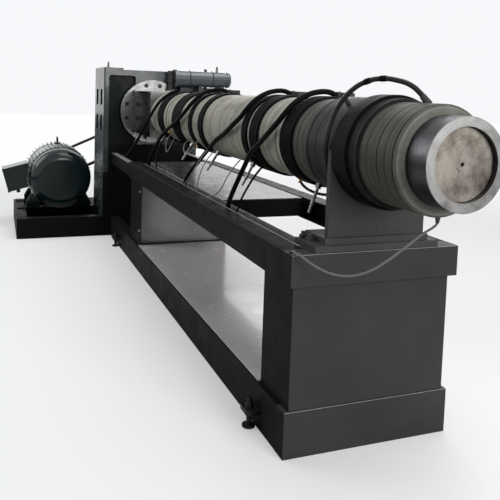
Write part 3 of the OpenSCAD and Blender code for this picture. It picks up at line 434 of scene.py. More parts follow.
def turned(stations, steps=96):
    """A turned shape on the Z axis: a circle drawn out and resized from station to station.

    A station is (height, radius). The last one closes on the first, or else both ends are capped."""
    closed = stations[0] == stations[-1]
    height, radius = stations[0]
    deselect()
    bpy.ops.mesh.primitive_circle_add(vertices=steps, radius=radius, location=(0, 0, 0),
                                      fill_type="NOTHING" if closed else "NGON")
    shape = bpy.context.object
    edit(shape)
    bpy.ops.transform.translate(value=(0, 0, height))
    for next_height, next_radius in stations[1:]:
        bpy.ops.mesh.extrude_region_move(
            TRANSFORM_OT_translate={"value": (0, 0, next_height - height)})
        factor = next_radius / radius
        if abs(factor - 1) > 1e-9:
            bpy.ops.transform.resize(value=(factor, factor, 1), center_override=(0, 0, next_height))
        height, radius = next_height, next_radius
    bpy.ops.mesh.select_all(action="SELECT")
    if closed:
        bpy.ops.mesh.remove_doubles(threshold=1e-6)
    bpy.ops.mesh.normals_make_consistent(inside=False)
    leave()
    return shape


ALONG_X = (0, math.pi / 2, 0)
ALONG_Y = (-math.pi / 2, 0, 0)
SHARP = math.radians(30)
FLAT = math.radians(0.6)


def turned_along_x(name, slot, stations, centre=BARREL, steps=96, **options):
    """A turned piece whose stations are (x, radius)."""
    return finish(place(turned(stations, steps), centre, ALONG_X), name, slot, **options)


def block(low, high, ease=0.002):
    """A box between two corners with eased edges."""
    low, high = Vector(low), Vector(high)
    deselect()
    bpy.ops.mesh.primitive_cube_add(size=1, location=(low + high) / 2, scale=high - low)
    shape = bpy.context.object
    bpy.ops.object.transform_apply(location=True, rotation=True, scale=True)
    edit(shape)
    bpy.ops.mesh.bevel(offset=ease, segments=2, affect="EDGES")
    leave()
    return shape


def slot_of(node):
    return next(sub["material_slot"] for sub in frame["record"]["subparts"] if sub["node"] == node)


def repaint(piece, material, test):
    """Gives the faces that pass a test of their middle and direction a second finish."""
    piece.data.materials.append(material)
    for face in piece.data.polygons:
        if test(face.center, face.normal):
            face.material_index = len(piece.data.materials) - 1


def eased(node, width, cuts=()):
    """The solid's own shape, its sharp edges rounded, which stands for the node.

    A cut is a (point, direction) of a plane that parts the faces, for a finish to end there."""
    shape = bpy.data.objects.new(node, nodes[node].data.copy())
    scene.collection.objects.link(shape)
    edit(shape)
    bpy.ops.mesh.remove_doubles(threshold=2e-5)
    bpy.ops.mesh.dissolve_limited(angle_limit=FLAT, delimit={"NORMAL"})
    leave()
    modify(shape, "BEVEL", width=width, segments=2, limit_method="ANGLE", angle_limit=SHARP,
           use_clamp_overlap=True)
    for point, across in cuts:
        edit(shape)
        bpy.ops.mesh.bisect(plane_co=point, plane_no=across)
        leave()
    finish(shape, node + "_eased", slot_of(node), stands_for=(node,))
    modify(shape, "WEIGHTED_NORMAL", weight=80, keep_sharp=True)
    return shape


# Cables and hoses: the routes of the solids, in metres
ROUTES = {
    "heater_lead_1": [
        (-0.455, 0.075, 1.292), (-0.455, 0.062, 1.293), (-0.454, 0.020, 1.306), (-0.453, -0.035, 1.304),
        (-0.454, -0.090, 1.286), (-0.458, -0.135, 1.256), (-0.468, -0.168, 1.218), (-0.495, -0.190, 1.176),
        (-0.545, -0.201, 1.137), (-0.660, -0.203, 1.073), (-0.800, -0.190, 1.015), (-0.905, -0.177, 0.945),
        (-0.952, -0.190, 0.872), (-0.968, -0.216, 0.795), (-0.971, -0.231, 0.745), (-0.971, -0.231, 0.699),
    ],
    "heater_lead_2": [
        (-0.915, 0.075, 1.292), (-0.915, 0.062, 1.293), (-0.914, 0.020, 1.306), (-0.911, -0.035, 1.304),
        (-0.908, -0.090, 1.286), (-0.910, -0.135, 1.256), (-0.920, -0.168, 1.218), (-0.948, -0.190, 1.176),
        (-1.010, -0.202, 1.139), (-1.150, -0.196, 1.087), (-1.330, -0.184, 1.035), (-1.500, -0.168, 0.975),
        (-1.640, -0.182, 0.890), (-1.715, -0.208, 0.820), (-1.758, -0.230, 0.750), (-1.760, -0.231, 0.699),
    ],
    "heater_lead_3": [
        (-1.865, 0.075, 1.292), (-1.865, 0.062, 1.293), (-1.864, 0.020, 1.306), (-1.863, -0.035, 1.304),
        (-1.862, -0.090, 1.286), (-1.865, -0.135, 1.256), (-1.880, -0.168, 1.218), (-1.920, -0.191, 1.174),
        (-2.000, -0.203, 1.130), (-2.140, -0.205, 1.083), (-2.300, -0.199, 1.043), (-2.470, -0.189, 1.000),
        (-2.620, -0.189, 0.940), (-2.712, -0.208, 0.850), (-2.752, -0.230, 0.760), (-2.755, -0.231, 0.699),
    ],
    "hose_arch": [
        (-0.095, -0.106, 0.812), (-0.095, -0.106, 0.862), (-0.092, -0.116, 0.912), (-0.079, -0.147, 0.967),
        (-0.056, -0.183, 1.025), (-0.040, -0.203, 1.090), (-0.033, -0.201, 1.150), (-0.027, -0.190, 1.205),
        (-0.008, -0.172, 1.262), (0.028, -0.147, 1.312), (0.074, -0.114, 1.344), (0.120, -0.081, 1.354),
        (0.160, -0.052, 1.349), (0.197, -0.026, 1.335), (0.225, -0.006, 1.309), (0.243, 0.007, 1.284),
    ],
    "hanging_lead": [
        (0.330, 0.010, 0.912), (0.329, 0.009, 0.899), (0.321, 0.000, 0.885), (0.301, -0.024, 0.861),
        (0.272, -0.061, 0.816), (0.240, -0.102, 0.768), (0.207, -0.143, 0.728), (0.178, -0.179, 0.706),
        (0.148, -0.216, 0.696), (0.120, -0.250, 0.700), (0.096, -0.279, 0.712), (0.074, -0.303, 0.727),
        (0.055, -0.320, 0.741), (0.038, -0.330, 0.749), (0.022, -0.333, 0.747), (0.004, -0.333, 0.747),
    ],
}


def tube(name, points, diameter):
    """A round tube along a smooth curve through the points."""
    data = bpy.data.curves.new(name, "CURVE")
    data.dimensions = "3D"
    data.bevel_depth = diameter / 2
    data.bevel_resolution = 5
    data.resolution_u = 10
    data.use_fill_caps = True
    spline = data.splines.new("BEZIER")
    spline.bezier_points.add(len(points) - 1)
    for knot, point in zip(spline.bezier_points, points):
        knot.co = point
        knot.handle_left_type = knot.handle_right_type = "AUTO"
    piece = bpy.data.objects.new(name, data)
    scene.collection.objects.link(piece)
    return piece


def make_cord(name, points, slot, diameter, material=None, stands_for=()):
    """A cord along a route, which starts where it leaves the machine."""
    cord = finish(tube(name, points, diameter), name, slot, material, smooth=0, stands_for=stands_for)


def make_cables():
    for node, slot, diameter, stiffness, material in (
            ("heater_lead_1", "cable_black", 0.024, "medium", None),
            ("heater_lead_2", "cable_black", 0.024, "medium", None),
            ("heater_lead_3", "cable_black", 0.024, "medium", None),
            ("hose_arch", "cable_black", 0.018, "stiff", HOSE_RUBBER),
            ("hanging_lead", "lead_grey", 0.008, "limp", LEAD_SLEEVE)):
        make_cord(node + "_cable", ROUTES[node], slot, diameter, material, (node,))


make_cables()


# Frame and sheet metal: the solids with their edges eased
POCKET_X = (-3.807, -3.7475)
POCKET_Y = (0.15, 0.378)
POCKET_Z = (0.807, 1.408)
PEDESTAL_WALL_X = -2.637
STUD_Y = 0.21
STUD_TOP = 0.792
STUD_DROP = 0.034


def in_pocket(at, normal):
    """Whether a face of the gearbox case lies inside one of its two front pockets."""
    return (POCKET_X[0] < at.x < POCKET_X[1] and POCKET_Y[0] < abs(at.y) < POCKET_Y[1]
            and POCKET_Z[0] < at.z < POCKET_Z[1])


def make_frame():
    for node in ("base_rail_near", "base_rail_far", "top_beam_near", "top_beam_far",
                 "drive_skid_sides", "drive_skid_ends", "cooler_bracket", "terminal_box"):
        eased(node, 0.003)
    for node in ("base_cross_bars", "rear_cross_beam", "frame_cross_bars", "front_cabinet", "front_panel",
                 "cable_tray", "motor_slide_rails"):
        eased(node, 0.0015)
    for node in ("barrel_support", "heater_terminals", "motor_feet", "output_flange"):
        eased(node, 0.002)
    for node in ("motor_frame", "motor_drive_shield", "levelling_feet", "cooler_valve"):
        eased(node, 0.001)
    for node in ("front_rim", "front_plinth"):
        front = eased(node, 0.003)
        # Faces not facing ±Y take the lighter panel grey while the ends stay black: painted light on the
        # front and top, painted shade on the ends.
        repaint(front, MATERIALS["panel_grey"], lambda at, normal: abs(normal.y) < 0.9)
        # The top front bevels take light grey: a painted highlight along the edge.
        repaint(front, TOP_PAINTED_HIGHLIGHT, lambda at, normal: normal.z > 0.3 and normal.x > 0.3)
    repaint(eased("base_plate", 0.001), PLATE_PAINT, lambda at, normal: True)
    repaint(eased("deck_plate", 0.001), DECK_PAINT, lambda at, normal: True)
    # The stand wears the gearbox's paint, but its front faces are painted black: painted shade on the
    # front.
    repaint(eased("gearbox_stand", 0.003), MATERIALS["frame_black"], lambda at, normal: normal.x > 0.9)
    feet = eased("support_feet", 0.002)
    for vertex in feet.data.vertices:
        if abs(vertex.co.y) > STUD_Y and vertex.co.z > STUD_TOP:
            vertex.co.z -= STUD_DROP
    # The feed block's sides take the near-black steel, a painted dark reflection; its other faces keep
    # their own steel.
    repaint(eased("feed_block", 0.002), STEEL_DARK_REFLECTION, lambda at, normal: abs(normal.y) > 0.7)
    repaint(eased("rear_pedestal", 0.0015), MATERIALS["deck_grey"],
            lambda at, normal: normal.x > 0.9 and abs(at.x - PEDESTAL_WALL_X) < 0.002)
    housing = eased("gearbox_housing", 0.003, cuts=(
        ((0, 0, POCKET_Z[0]), (0, 0, 1)), ((0, POCKET_Y[1], 0), (0, 1, 0)),
        ((0, -POCKET_Y[1], 0), (0, 1, 0))))
    # The faces inside the gearbox's front pockets are painted near-black: painted shade in the recesses.
    repaint(housing, POCKET_SHADE, in_pocket)
    # Below the pockets the housing's front faces are painted black: painted shade on the lower front.
    repaint(housing, MATERIALS["frame_black"],
            lambda at, normal: normal.x > 0.9 and at.z < POCKET_Z[0] and abs(at.y) < POCKET_Y[1])
    beams = eased("rear_side_beams", 0.003)
    # The rear side beams wear the gearbox's paint; their sides are painted black as painted shade.
    repaint(beams, MATERIALS["frame_black"], lambda at, normal: normal.z < 0.9)
    # Their top faces take light grey: a painted highlight.
    repaint(beams, TOP_PAINTED_HIGHLIGHT, lambda at, normal: normal.z > 0.9)


make_frame()


# Barrel
JACKETS = {
    "heater_jacket_1": (-0.377, 0.363, (-0.330, 0.253, 0.342), (-0.285, 0.190, 0.298)),
    "heater_jacket_2": (-0.914, -0.403, (-0.618,), (-0.700, -0.560)),
    "heater_jacket_3": (-1.857, -0.940, (-1.138, -1.314, -1.487), (-1.050, -1.226, -1.400, -1.550)),
    "heater_jacket_4": (-2.480, -1.883, (-2.000, -2.420), (-1.940, -2.060, -2.360)),
    "heater_jacket_5": (-2.997, -2.506, (-2.800, -2.900), (-2.750, -2.850)),
}
JACKET_R = 0.178
TUBE_R = 0.125
SADDLE_R = 0.190
RING_R = 0.145
FRONT_CHAMFER_X = 0.3445


def shell_stations(x0, x1, outer, inner, grooves, seams, chamfer=0.0):
    """Stations of a shell round the barrel, with eased grooves and narrow seams cut into it."""
    ease = 0.0012
    cuts = sorted([(x, 0.0025, 0.004) for x in grooves] + [(x, 0.0009, 0.0016) for x in seams])
    stations = [(x0, inner), (x0, outer - ease), (x0 + ease, outer)]
    for x, half, depth in cuts:
        stations += [(x - half - ease, outer), (x - half, outer - ease), (x - half, outer - depth),
                     (x + half, outer - depth), (x + half, outer - ease), (x + half + ease, outer)]
    if chamfer:
        last_cut = cuts[-1][0] + cuts[-1][1] + 0.003
        stations += [(last_cut, outer), (x1 - ease, outer - chamfer), (x1, outer - chamfer - ease)]
    else:
        stations += [(x1 - ease, outer), (x1, outer - ease)]
    return stations + [(x1, inner), (x0, inner)]


def make_barrel():
    for node, (x0, x1, grooves, seams) in JACKETS.items():
        front = node == "heater_jacket_1"
        stations = shell_stations(x0, x1, JACKET_R, TUBE_R, grooves, seams, 0.018 if front else 0)
        # The front jacket takes the darker sheet, partly dirt and partly painted shade from the saddle.
        shell = turned_along_x(node + "_shell", "jacket", stations, steps=128,
                               material=FRONT_SHEET_DIRT_AND_SHADE if front else None, stands_for=(node,))
        if front:
            # The chamfer faces take the lighter sheet: a painted highlight.
            repaint(shell, FRONT_CHAMFER_HIGHLIGHT, lambda at, normal: at.x > FRONT_CHAMFER_X)
    # The saddle shell's near-black sheet is a dark cover with painted shade in it.
    turned_along_x("saddle_shell", "support_black",
                   shell_stations(-0.233, 0.144, SADDLE_R, JACKET_R, (-0.210,),
                                  (-0.145, 0.100, 0.108, 0.116, 0.124, 0.132)),
                   steps=128, material=SADDLE_SHEET_DARK_AND_SHADED, stands_for=("saddle_cover",))
    ring = turned_along_x("head_ring_turned", "blued_steel", [
        (0.363, 0.075), (0.363, RING_R), (0.4638, RING_R), (0.465, 0.1438), (0.465, 0.115), (0.464, 0.114),
        (0.427, 0.114), (0.427, 0.075), (0.363, 0.075)], steps=144, stands_for=("head_ring",))
    # The front face takes lighter turned steel while the round side stays dark blued steel; the side's
    # darkness is partly bluing and partly painted shade.
    repaint(ring, RING_FACE, lambda at, normal: normal.x > 0.5)


def wrap_stations(x0, x1, inner, thickness=0.012, cable=0.018, arc=5):
    """Stations of a cable wound in turns side by side, each turn half round."""
    turns = round((x1 - x0) / cable)
    half = (x1 - x0) / turns / 2
    stations = [(x0, inner)]
    for turn in range(turns):
        for step in range(arc + 1 if turn == turns - 1 else arc):
            angle = math.pi * step / arc
            stations.append((x0 + half * (2 * turn + 1 - math.cos(angle)),
                             inner + thickness - half + half * math.sin(angle)))
    return stations + [(x1, inner), (x0, inner)]


def make_wraps():
    """The heater cables' turns on the jackets, and the low band on the saddle."""
    wraps = [turned(wrap_stations(x0, x1, JACKET_R), 96) for x0, x1 in (
        (-0.486, -0.373), (-0.842, -0.740), (-0.947, -0.884), (-1.687, -1.607),
        (-1.896, -1.833), (-2.300, -2.113), (-2.710, -2.565))]
    band = [(0.002, SADDLE_R), (0.002, 0.200), (0.004, 0.202)]
    for x in (0.020, 0.039, 0.058, 0.077):
        band += [(x - 0.001, 0.202), (x, 0.2008), (x + 0.001, 0.202)]
    wraps.append(turned(band + [(0.092, 0.202), (0.094, 0.200), (0.094, SADDLE_R), (0.002, SADDLE_R)], 128))
    finish(place(join(wraps), BARREL, ALONG_X), "cable_turns", "cable_black",
           stands_for=("cable_straps",))


make_barrel()
make_wraps()


# Small parts, modelled once and copied
def hex_bolt(across, height, washer=True):
    """A hexagon head with eased corners on its washer, standing on z = 0."""
    base = height * 0.25 if washer else 0.0
    deselect()
    bpy.ops.mesh.primitive_circle_add(vertices=6, radius=across / math.sqrt(3), location=(0, 0, base),
                                      fill_type="NGON")
    head = bpy.context.object
    bpy.ops.object.transform_apply(location=True, rotation=True, scale=True)
    edit(head)
    bpy.ops.mesh.extrude_region_move(TRANSFORM_OT_translate={"value": (0, 0, height)})
    bpy.ops.mesh.inset(thickness=across * 0.09)
    bpy.ops.transform.translate(value=(0, 0, height * 0.08))
    bpy.ops.mesh.select_all(action="SELECT")
    bpy.ops.mesh.normals_make_consistent(inside=False)
    leave()
    if not washer:
        return head
    rim = across * 0.68
    return join([head, turned([(0, rim), (base * 0.7, rim), (base, rim * 0.96)], 24)])


def cap_screw(radius, height):
    """A round head with a socket in its top, standing on z = 0."""
    head = turned([(0, radius), (height * 0.85, radius), (height, radius * 0.88)], 24)
    edit(head)
    choose_faces(head, lambda at, normal: at.z > height * 0.99 and normal.z > 0.9)
    bpy.ops.mesh.inset(thickness=radius * 0.38)
    bpy.ops.mesh.extrude_region_move(TRANSFORM_OT_translate={"value": (0, 0, -height * 0.6)})
    leave()
    return head


def nut_ring(inner, outer, height):
    """A twelve-sided gland nut, open in the middle."""
    ease = height * 0.12
    return turned([(0, inner), (0, outer - ease), (ease, outer), (height - ease, outer),
                   (height, outer - ease), (height, inner), (0, inner)], 12)


def relief(cord, wide, length, ribs=4):
    """A tapered and ribbed sleeve round a cord, standing on z = 0."""
    bore = cord / 2 + 0.0004
    tip = bore + 0.0014
    stations = [(0, bore), (0, wide)]
    for rib in range(ribs):
        start, stop = length * rib / ribs, length * (rib + 0.65) / ribs
        outer = wide - (wide - tip) * (rib + 0.65) / ribs
        if rib:
            stations.append((start, wide - (wide - tip) * rib / ribs))
        stations += [(stop, outer), (stop + length * 0.1 / ribs, max(outer - 0.0012, bore + 0.0006))]
    return turned(stations + [(length, tip), (length, bore), (0, bore)], 24)


def lifting_eye(ring, wire):
    """An eye on its collar, standing on z = 0."""
    steps = 12
    angles = [2 * math.pi * i / steps for i in range(steps)]
    wire_circle = [(wire * math.sin(a), ring + wire * math.cos(a)) for a in angles]
    loop = turned(wire_circle + [(0.0, ring + wire)], 32)
    place(loop, (0, 0, ring + 0.012), (math.pi / 2, 0, 0))
    return join([loop, turned([(0, ring), (0.004, ring), (0.009, ring * 0.8), (0.012, ring * 0.6)], 32)])


def circle_spots(centre, radius, count, facing, start=0.0):
    """Spots on a circle round a centre, in the plane that faces along X or along Y."""
    spots = []
    for i in range(count):
        angle = 2 * math.pi * (i + start) / count
        across, up = radius * math.cos(angle), radius * math.sin(angle)
        at = (0, across, up) if facing[0] else (across, 0, up)
        spots.append((Vector(centre) + Vector(at), facing, angle))
    return spots


# Gearbox and cooler
GEARBOX_REAR = -4.290
COVER_FACE = GEARBOX_REAR - 0.026
COOLER = (-3.660, 0, 1.403)


def make_gearbox():
    bolts = []
    for across, height, y, z, radius, count, start in (
            (0.026, 0.012, 0.0, AXIS_Z, 0.168, 8, 0.5),
            (0.018, 0.009, 0.19, DRIVE_SHAFT.z, 0.080, 6, 0.0),
            (0.022, 0.011, DRIVE_SHAFT.y, DRIVE_SHAFT.z, 0.139, 8, 0.5)):
        bolts.append(copy_to(hex_bolt(across, height),
                             circle_spots((COVER_FACE, y, z), radius, count, (-1, 0, 0), start)))
    finish(join(bolts), "gearbox_bolts", "dark_steel")
    finish(place(lifting_eye(0.017, 0.006), (-3.785, -0.382, 1.475)), "gearbox_eye", "machined_steel",
           stands_for=("gearbox_eyebolt",))


def make_cooler():
    body = turned([
        (0.173, 0.0785), (0.1745, 0.080), (0.1935, 0.080), (0.195, 0.0785), (0.195, 0.0745), (0.198, 0.072),
        (0.6315, 0.072), (0.633, 0.0705), (0.633, 0.066), (0.657, 0.066), (0.657, 0.0705), (0.6585, 0.072),
        (0.676, 0.072), (0.680, 0.0708), (0.684, 0.068), (0.6875, 0.0635), (0.6895, 0.059), (0.690, 0.053),
        (0.6885, 0.051)], 96)
    finish(place(body, COOLER, ALONG_Y), "cooler_body", "cooler_grey", stands_for=("oil_cooler",))
    bands = []
    for y in (0.309, 0.520):
        bands.append(place(turned([(y - 0.005, 0.072), (y - 0.005, 0.0735), (y - 0.004, 0.0745),
                                   (y + 0.004, 0.0745), (y + 0.005, 0.0735), (y + 0.005, 0.072),
                                   (y - 0.005, 0.072)], 96), COOLER, ALONG_Y))
        bands.append(block((-3.742, y - 0.009, 1.392), (-3.7335, y + 0.009, 1.414), 0.002))
    finish(join(bands), "cooler_bands", "support_black")
    bolts = [copy_to(hex_bolt(0.013, 0.006), circle_spots((COOLER[0], 0.173, COOLER[2]), 0.068, 8,
                                                          (0, -1, 0), 0.5)),
             copy_to(hex_bolt(0.024, 0.013), [((COOLER[0], 0.462, COOLER[2] - 0.072), (0, 0, -1), 0)]),
             copy_to(hex_bolt(0.024, 0.013), [((COOLER[0], 0.462, COOLER[2] + 0.0715), (0, 0, 1), 0)])]
    finish(join(bolts), "cooler_bolts", "dark_steel")
    finish(place(lifting_eye(0.016, 0.005), (COOLER[0], 0.570, COOLER[2] + 0.071)), "cooler_eye",
           "machined_steel")


# Drive
def make_drive():
    rings = []
    for radius in (0.150, 0.128, 0.106, 0.084, 0.062):
        rings += [(-4.000, radius + 0.0045), (-4.003, radius + 0.0035), (-4.003, radius - 0.0035),
                  (-4.000, radius - 0.0045)]
    dome = [(-4.095 + 0.095 * math.sin(a), 0.172 + 0.095 * math.cos(a))
            for a in (math.radians(7.5 * i) for i in range(13))]
    cowl = [(-4.200, 0.272), (-4.199, 0.273), (-4.189, 0.273), (-4.1875, 0.2715), (-4.1865, 0.267)]
    turned_along_x("motor_cowl_turned", "motor_green", cowl + dome + rings + [(-4.000, 0.050)],
                   centre=(0, MOTOR.y, MOTOR.z), steps=128, stands_for=("motor_cowl",), smooth=40)
    bolts = [copy_to(hex_bolt(0.03, 0.014), [((x, MOTOR.y + side * 0.252, 0.204), (0, 0, 1), 0.4)
                                             for x in (-4.290, -4.700) for side in (-1, 1)]),
             copy_to(hex_bolt(0.017, 0.009), circle_spots((-4.840, MOTOR.y, MOTOR.z), 0.205, 8,
                                                          (-1, 0, 0), 0.5))]
    for axle in (MOTOR, DRIVE_SHAFT):
        bolts.append(copy_to(hex_bolt(0.012, 0.006), circle_spots((-4.940, axle.y, axle.z), 0.0805, 6,
                                                                  (-1, 0, 0))))
    finish(join(bolts), "drive_bolts", "dark_steel")
    tilt = Matrix.Rotation(math.radians(15), 4, "X")
    lid = [(MOTOR + tilt @ Vector((x, -0.462, z)), tilt @ Vector((0, -1, 0)), 0)
           for x in (-4.453, -4.227) for z in (-0.013, 0.180)]
    finish(copy_to(cap_screw(0.006, 0.003), lid), "terminal_lid_screws", "dark_steel")


# Glands and strain reliefs
def make_glands():
    end, before = (Vector(ROUTES["hose_arch"][i]) for i in (-1, -2))
    back = (before - end).normalized()
    hose = [copy_to(turned([(-0.014, 0.013), (-0.002, 0.013), (-0.0005, 0.012)], 24), [(end, back, 0)]),
            copy_to(relief(0.018, 0.0125, 0.022), [(end, back, 0)]),
            copy_to(relief(0.018, 0.013, 0.034), [(ROUTES["hose_arch"][0], (0, 0, 1), 0)])]
    finish(join(hose), "hose_reliefs", "support_black", smooth=40)
    start = Vector(ROUTES["hanging_lead"][0])
    lead = [copy_to(turned([(-0.014, 0.008), (-0.001, 0.008), (0.0, 0.007)], 24), [(start, (0, 0, -1), 0)]),
            copy_to(relief(0.008, 0.007, 0.011, 3), [(start, (-0.05, 0, -1), 0)])]
    finish(join(lead), "lead_relief", "support_black", smooth=40)
    spots = [(ROUTES[f"heater_lead_{i}"][0], (0, -1, 0.14), 0) for i in (1, 2, 3)]
    sleeve = place(relief(0.026, 0.0165, 0.012, 3), (0, 0, 0.006))
    finish(copy_to(join([nut_ring(0.0132, 0.0185, 0.007), sleeve]), spots),
           "heater_lead_reliefs", "support_black", smooth=20)
    post = turned([(0.186, 0.009), (0.2215, 0.009), (0.223, 0.0075)], 24)
    finish(place(post, (-0.070, 0, AXIS_Z), (math.radians(32), 0, 0)), "saddle_post", "support_black")
    route = [Vector(point) for point in ROUTES["hose_arch"]]
    turn = turned([(-0.011, 0.0093), (-0.011, 0.0100), (-0.0104, 0.0106), (0.0104, 0.0106), (0.011, 0.0100),
                   (0.011, 0.0093), (-0.011, 0.0093)], 24)
    finish(copy_to(turn, [(route[i], route[i + 1] - route[i - 1], 0) for i in (10, 11)]),
           "hose_tape", "cable_black")


def make_probes():
    """Probes with a nut, a spring and a connector, under the jackets."""
    coils = [(0.198, 0.006)]
    for i in range(14):
        z = 0.203 + i * 0.003
        coils += [(z, 0.0062), (z + 0.0008, 0.0072), (z + 0.0016, 0.0072), (z + 0.0024, 0.0062)]
    coils += [(0.248, 0.006), (0.249, 0.0085), (0.268, 0.0085), (0.270, 0.007), (0.304, 0.006),
              (0.306, 0.0045)]
    probe = join([turned(coils, 24), place(hex_bolt(0.024, 0.020, False), (0, 0, 0.1775))])
    spots = []
    for x, degrees in ((-0.348, 160), (-1.022, 152), (-1.551, 148), (-2.080, 147)):
        angle = math.radians(degrees)
        spots.append(((x, 0, AXIS_Z), (0, -math.sin(angle), math.cos(angle)), 0))
    finish(copy_to(probe, spots), "probes", "machined_steel", stands_for=("thermocouples",))


# Screws of the supports, panels and boxes
def make_screws():
    plate = [((0.0, 0.002, z), (1, 0, 0), 0.2) for z in (0.814, 0.884)]
    finish(copy_to(cap_screw(0.006, 0.003), plate), "support_screws", "support_black")
    side = [((-2.597, -0.325, z), (0, -1, 0), 0) for z in (0.278, 0.561)]
    side += [((-2.597, 0.325, z), (0, 1, 0), 0) for z in (0.278, 0.561)]
    finish(copy_to(hex_bolt(0.016, 0.008), side), "pedestal_bolts", "tray_zinc")
    boxes = []
    for x in (-0.455, -0.915, -1.865):
        boxes += [((x + dx, 0.1025 + dy, 1.306), (0, 0, 1), 0) for dx in (-0.022, 0.022)
                  for dy in (-0.019, 0.019)]
    finish(copy_to(cap_screw(0.0035, 0.0025), boxes), "terminal_screws", "brass")
    posts = []
    for x, phi in ((-2.440, -30), (-1.960, -57), (-0.500, -66)):
        angle = math.radians(phi)
        out = Vector((0, -math.cos(angle), math.sin(angle)))
        posts.append((Vector((x, 0, AXIS_Z)) + out * 0.177, out, 0.3))
    stud = join([hex_bolt(0.014, 0.007), turned([(0.008, 0.004), (0.024, 0.004), (0.025, 0.003)], 16)])
    finish(copy_to(stud, posts), "earth_studs", "brass")
    ring = turned([(0.0, 0.008), (0.0, 0.017), (0.001, 0.018), (0.006, 0.018), (0.007, 0.017),
                   (0.007, 0.008), (0.0, 0.008)], 32)
    finish(copy_to(ring, [((-2.000, 0.3375, 0.684), (0, -1, 0), 0)]), "copper_gland", "brass")


def make_disc():
    """The blanking disc with its centre hole and two centre-punch marks."""
    hole = 0.0055
    disc = turned_along_x("disc_turned", "stained_steel", [
        (0.427, 0.113), (0.4446, 0.113), (0.445, 0.1126), (0.445, hole + 0.0016), (0.4438, hole),
        (0.437, hole)], steps=96, stands_for=("blank_disc",))
    # The bore of the centre hole is painted near-black: painted shade in the hole.
    repaint(disc, POCKET_SHADE,
            lambda at, normal: at.x < 0.4436 and math.hypot(at.y, at.z - AXIS_Z) < hole + 0.0005)
    mark = turned([(0.0, 0.0028), (0.0003, 0.0024), (0.0003, 0.0016), (0.0001, 0.0012)], 16)
    spots = [((0.445, y, AXIS_Z + z), (1, 0, 0), 0) for y, z in ((-0.018, -0.012), (-0.012, -0.019))]
    finish(copy_to(mark, spots), "punch_marks", "dark_steel")


# Thin leads under the jackets: name, slot, diameter and route, to the tray, the frame or back up
THIN_LEADS = (
    ("probe_lead_front", "lead_grey", 0.006, (
        (-1.000, -0.142, 0.985), (-1.008, -0.190, 0.930), (-1.030, -0.222, 0.870),
        (-1.080, -0.232, 0.810), (-1.180, -0.234, 0.760), (-1.330, -0.234, 0.722),
        (-1.500, -0.232, 0.704))),
    ("probe_lead_middle", "lead_grey", 0.006, (
        (-1.420, -0.144, 0.985), (-1.430, -0.175, 0.950), (-1.450, -0.205, 0.900),
        (-1.480, -0.222, 0.840), (-1.500, -0.230, 0.780), (-1.520, -0.232, 0.730),
        (-1.530, -0.232, 0.704))),
    ("probe_lead_rear", "lead_grey", 0.006, (
        (-2.440, -0.152, 0.995), (-2.438, -0.175, 0.955), (-2.425, -0.190, 0.915),
        (-2.395, -0.196, 0.882), (-2.362, -0.196, 0.872), (-2.338, -0.190, 0.892),
        (-2.330, -0.170, 0.940), (-2.330, -0.150, 0.975))),
    ("probe_lead_loop", "lead_grey", 0.006, (
        (-1.950, -0.150, 0.998), (-1.945, -0.185, 0.965), (-1.915, -0.203, 0.935),
        (-1.865, -0.208, 0.915), (-1.815, -0.203, 0.915), (-1.785, -0.185, 0.940),
        (-1.780, -0.152, 0.995))),
    ("probe_lead_tray", "lead_grey", 0.006, (
        (-1.500, -0.150, 0.990), (-1.512, -0.190, 0.945), (-1.540, -0.218, 0.890),
        (-1.602, -0.236, 0.820), (-1.690, -0.245, 0.755), (-1.780, -0.248, 0.718),
        (-1.920, -0.247, 0.705))),
    ("tray_cable_front", "cable_black", 0.010, (
        (-0.700, -0.147, 0.985), (-0.715, -0.190, 0.930), (-0.745, -0.222, 0.860),
        (-0.780, -0.237, 0.800), (-0.815, -0.240, 0.745), (-0.850, -0.238, 0.713),
        (-0.900, -0.236, 0.707))),
    ("tray_cable_rear", "cable_black", 0.012, (
        (-2.500, -0.150, 0.990), (-2.515, -0.190, 0.935), (-2.530, -0.218, 0.870),
        (-2.520, -0.235, 0.800), (-2.480, -0.238, 0.742), (-2.420, -0.236, 0.713),
        (-2.300, -0.234, 0.708), (-2.150, -0.234, 0.708))),
    ("rear_cable", "cable_black", 0.022, (
        (-2.637, -0.060, 1.293), (-2.640, -0.120, 1.266), (-2.660, -0.168, 1.225),
        (-2.720, -0.198, 1.170), (-2.840, -0.209, 1.100), (-2.980, -0.214, 1.030),
        (-3.110, -0.218, 0.960), (-3.205, -0.232, 0.885), (-3.250, -0.262, 0.815),
        (-3.262, -0.295, 0.765), (-3.263, -0.320, 0.743))),
    ("jacket_loop", "cable_black", 0.012, (
        (-0.620, -0.020, 0.917), (-0.605, -0.020, 0.902), (-0.570, -0.020, 0.888),
        (-0.500, -0.020, 0.878), (-0.420, -0.020, 0.878), (-0.350, -0.020, 0.886),
        (-0.300, -0.020, 0.900), (-0.285, -0.020, 0.914))),
)


def make_thin_leads():
    for name, slot, diameter, points in THIN_LEADS:
        make_cord(name, points, slot, diameter)


make_gearbox()
make_cooler()
make_drive()
make_glands()
make_probes()
make_screws()
make_disc()
make_thin_leads()


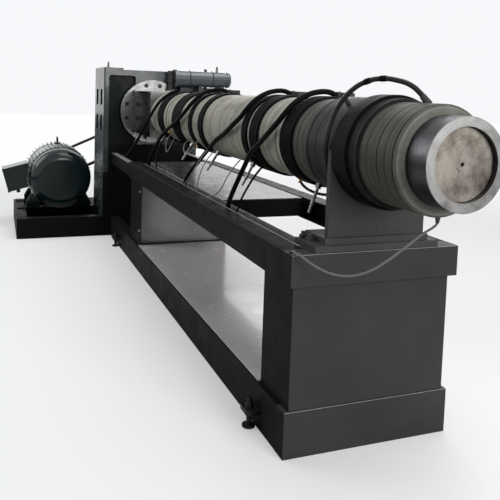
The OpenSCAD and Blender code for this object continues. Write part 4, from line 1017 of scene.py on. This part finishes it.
# Studio: a pale floor that keeps the shadow near the machine, and a pale backdrop
BACKDROP = (0.93, 0.94, 0.96, 1)
LIT_SPOT = Vector((-1.3, 0, 0.8))
LAMPS = (("key", (3.2, 0.6, 1.9), 100, 2.0), ("roof", (-1.6, 1.2, 5.5), 150, 4.0),
         ("side", (-4.2, -4.2, 3.6), 100, 3.0), ("rear", (-6.5, 2.5, 3.5), 60, 3.0))


def pale_to_the_eye(f, pale, plain):
    """A colour that is pale to camera, glossy and transmitted rays and plain to the light it sends back."""
    rays = f.node("ShaderNodeLightPath").outputs
    seen = f.maths("MAXIMUM", rays["Is Camera Ray"], rays["Is Glossy Ray"])
    return f.mix(f.maths("MAXIMUM", seen, rays["Is Transmission Ray"]), plain, pale)


def make_studio():
    deselect()
    bpy.ops.mesh.primitive_plane_add(size=60, location=(0, 0, -0.0005))
    floor = bpy.context.object
    floor.name = "floor"
    f = Finish("studio_floor")
    from_middle = f.node("ShaderNodeVectorMath", {0: f.coordinates, 1: (2.5, 0, 0)}, operation="ADD")
    away = f.node("ShaderNodeVectorMath", {0: from_middle.outputs[0]}, operation="LENGTH").outputs["Value"]
    far = f.ramp(away, 3.4, 6.5, 0.35, 1.0)
    pale = f.mix(far, (0.97, 0.97, 0.96, 1), (0, 0, 0, 1))
    f.set("Base Color", pale_to_the_eye(f, pale, (0.5, 0.5, 0.49, 1)))
    f.set("Emission Color", BACKDROP)
    seen = f.node("ShaderNodeLightPath").outputs["Is Camera Ray"]
    f.set("Emission Strength", f.maths("MULTIPLY", far, seen))
    f.set("Roughness", 0.8)
    f.set("Specular IOR Level", 0.2)
    floor.data.materials.append(f.material)
    world = bpy.data.worlds.new("studio")
    scene.world = world
    world.use_nodes = True
    sky = Wiring(world.node_tree, None)
    background = world.node_tree.nodes["Background"].inputs
    sky.plug(background["Color"], pale_to_the_eye(sky, BACKDROP, (0.22, 0.227, 0.24, 1)))
    background["Strength"].default_value = 1.0
    for name, at, energy, size in LAMPS:
        data = bpy.data.lights.new(name, "AREA")
        data.energy = energy
        data.size = size
        lamp = bpy.data.objects.new(name, data)
        lamp.location = at
        lamp.rotation_euler = (LIT_SPOT - lamp.location).to_track_quat("-Z", "Y").to_euler()
        scene.collection.objects.link(lamp)


make_studio()
scene.view_settings.view_transform = "Standard"
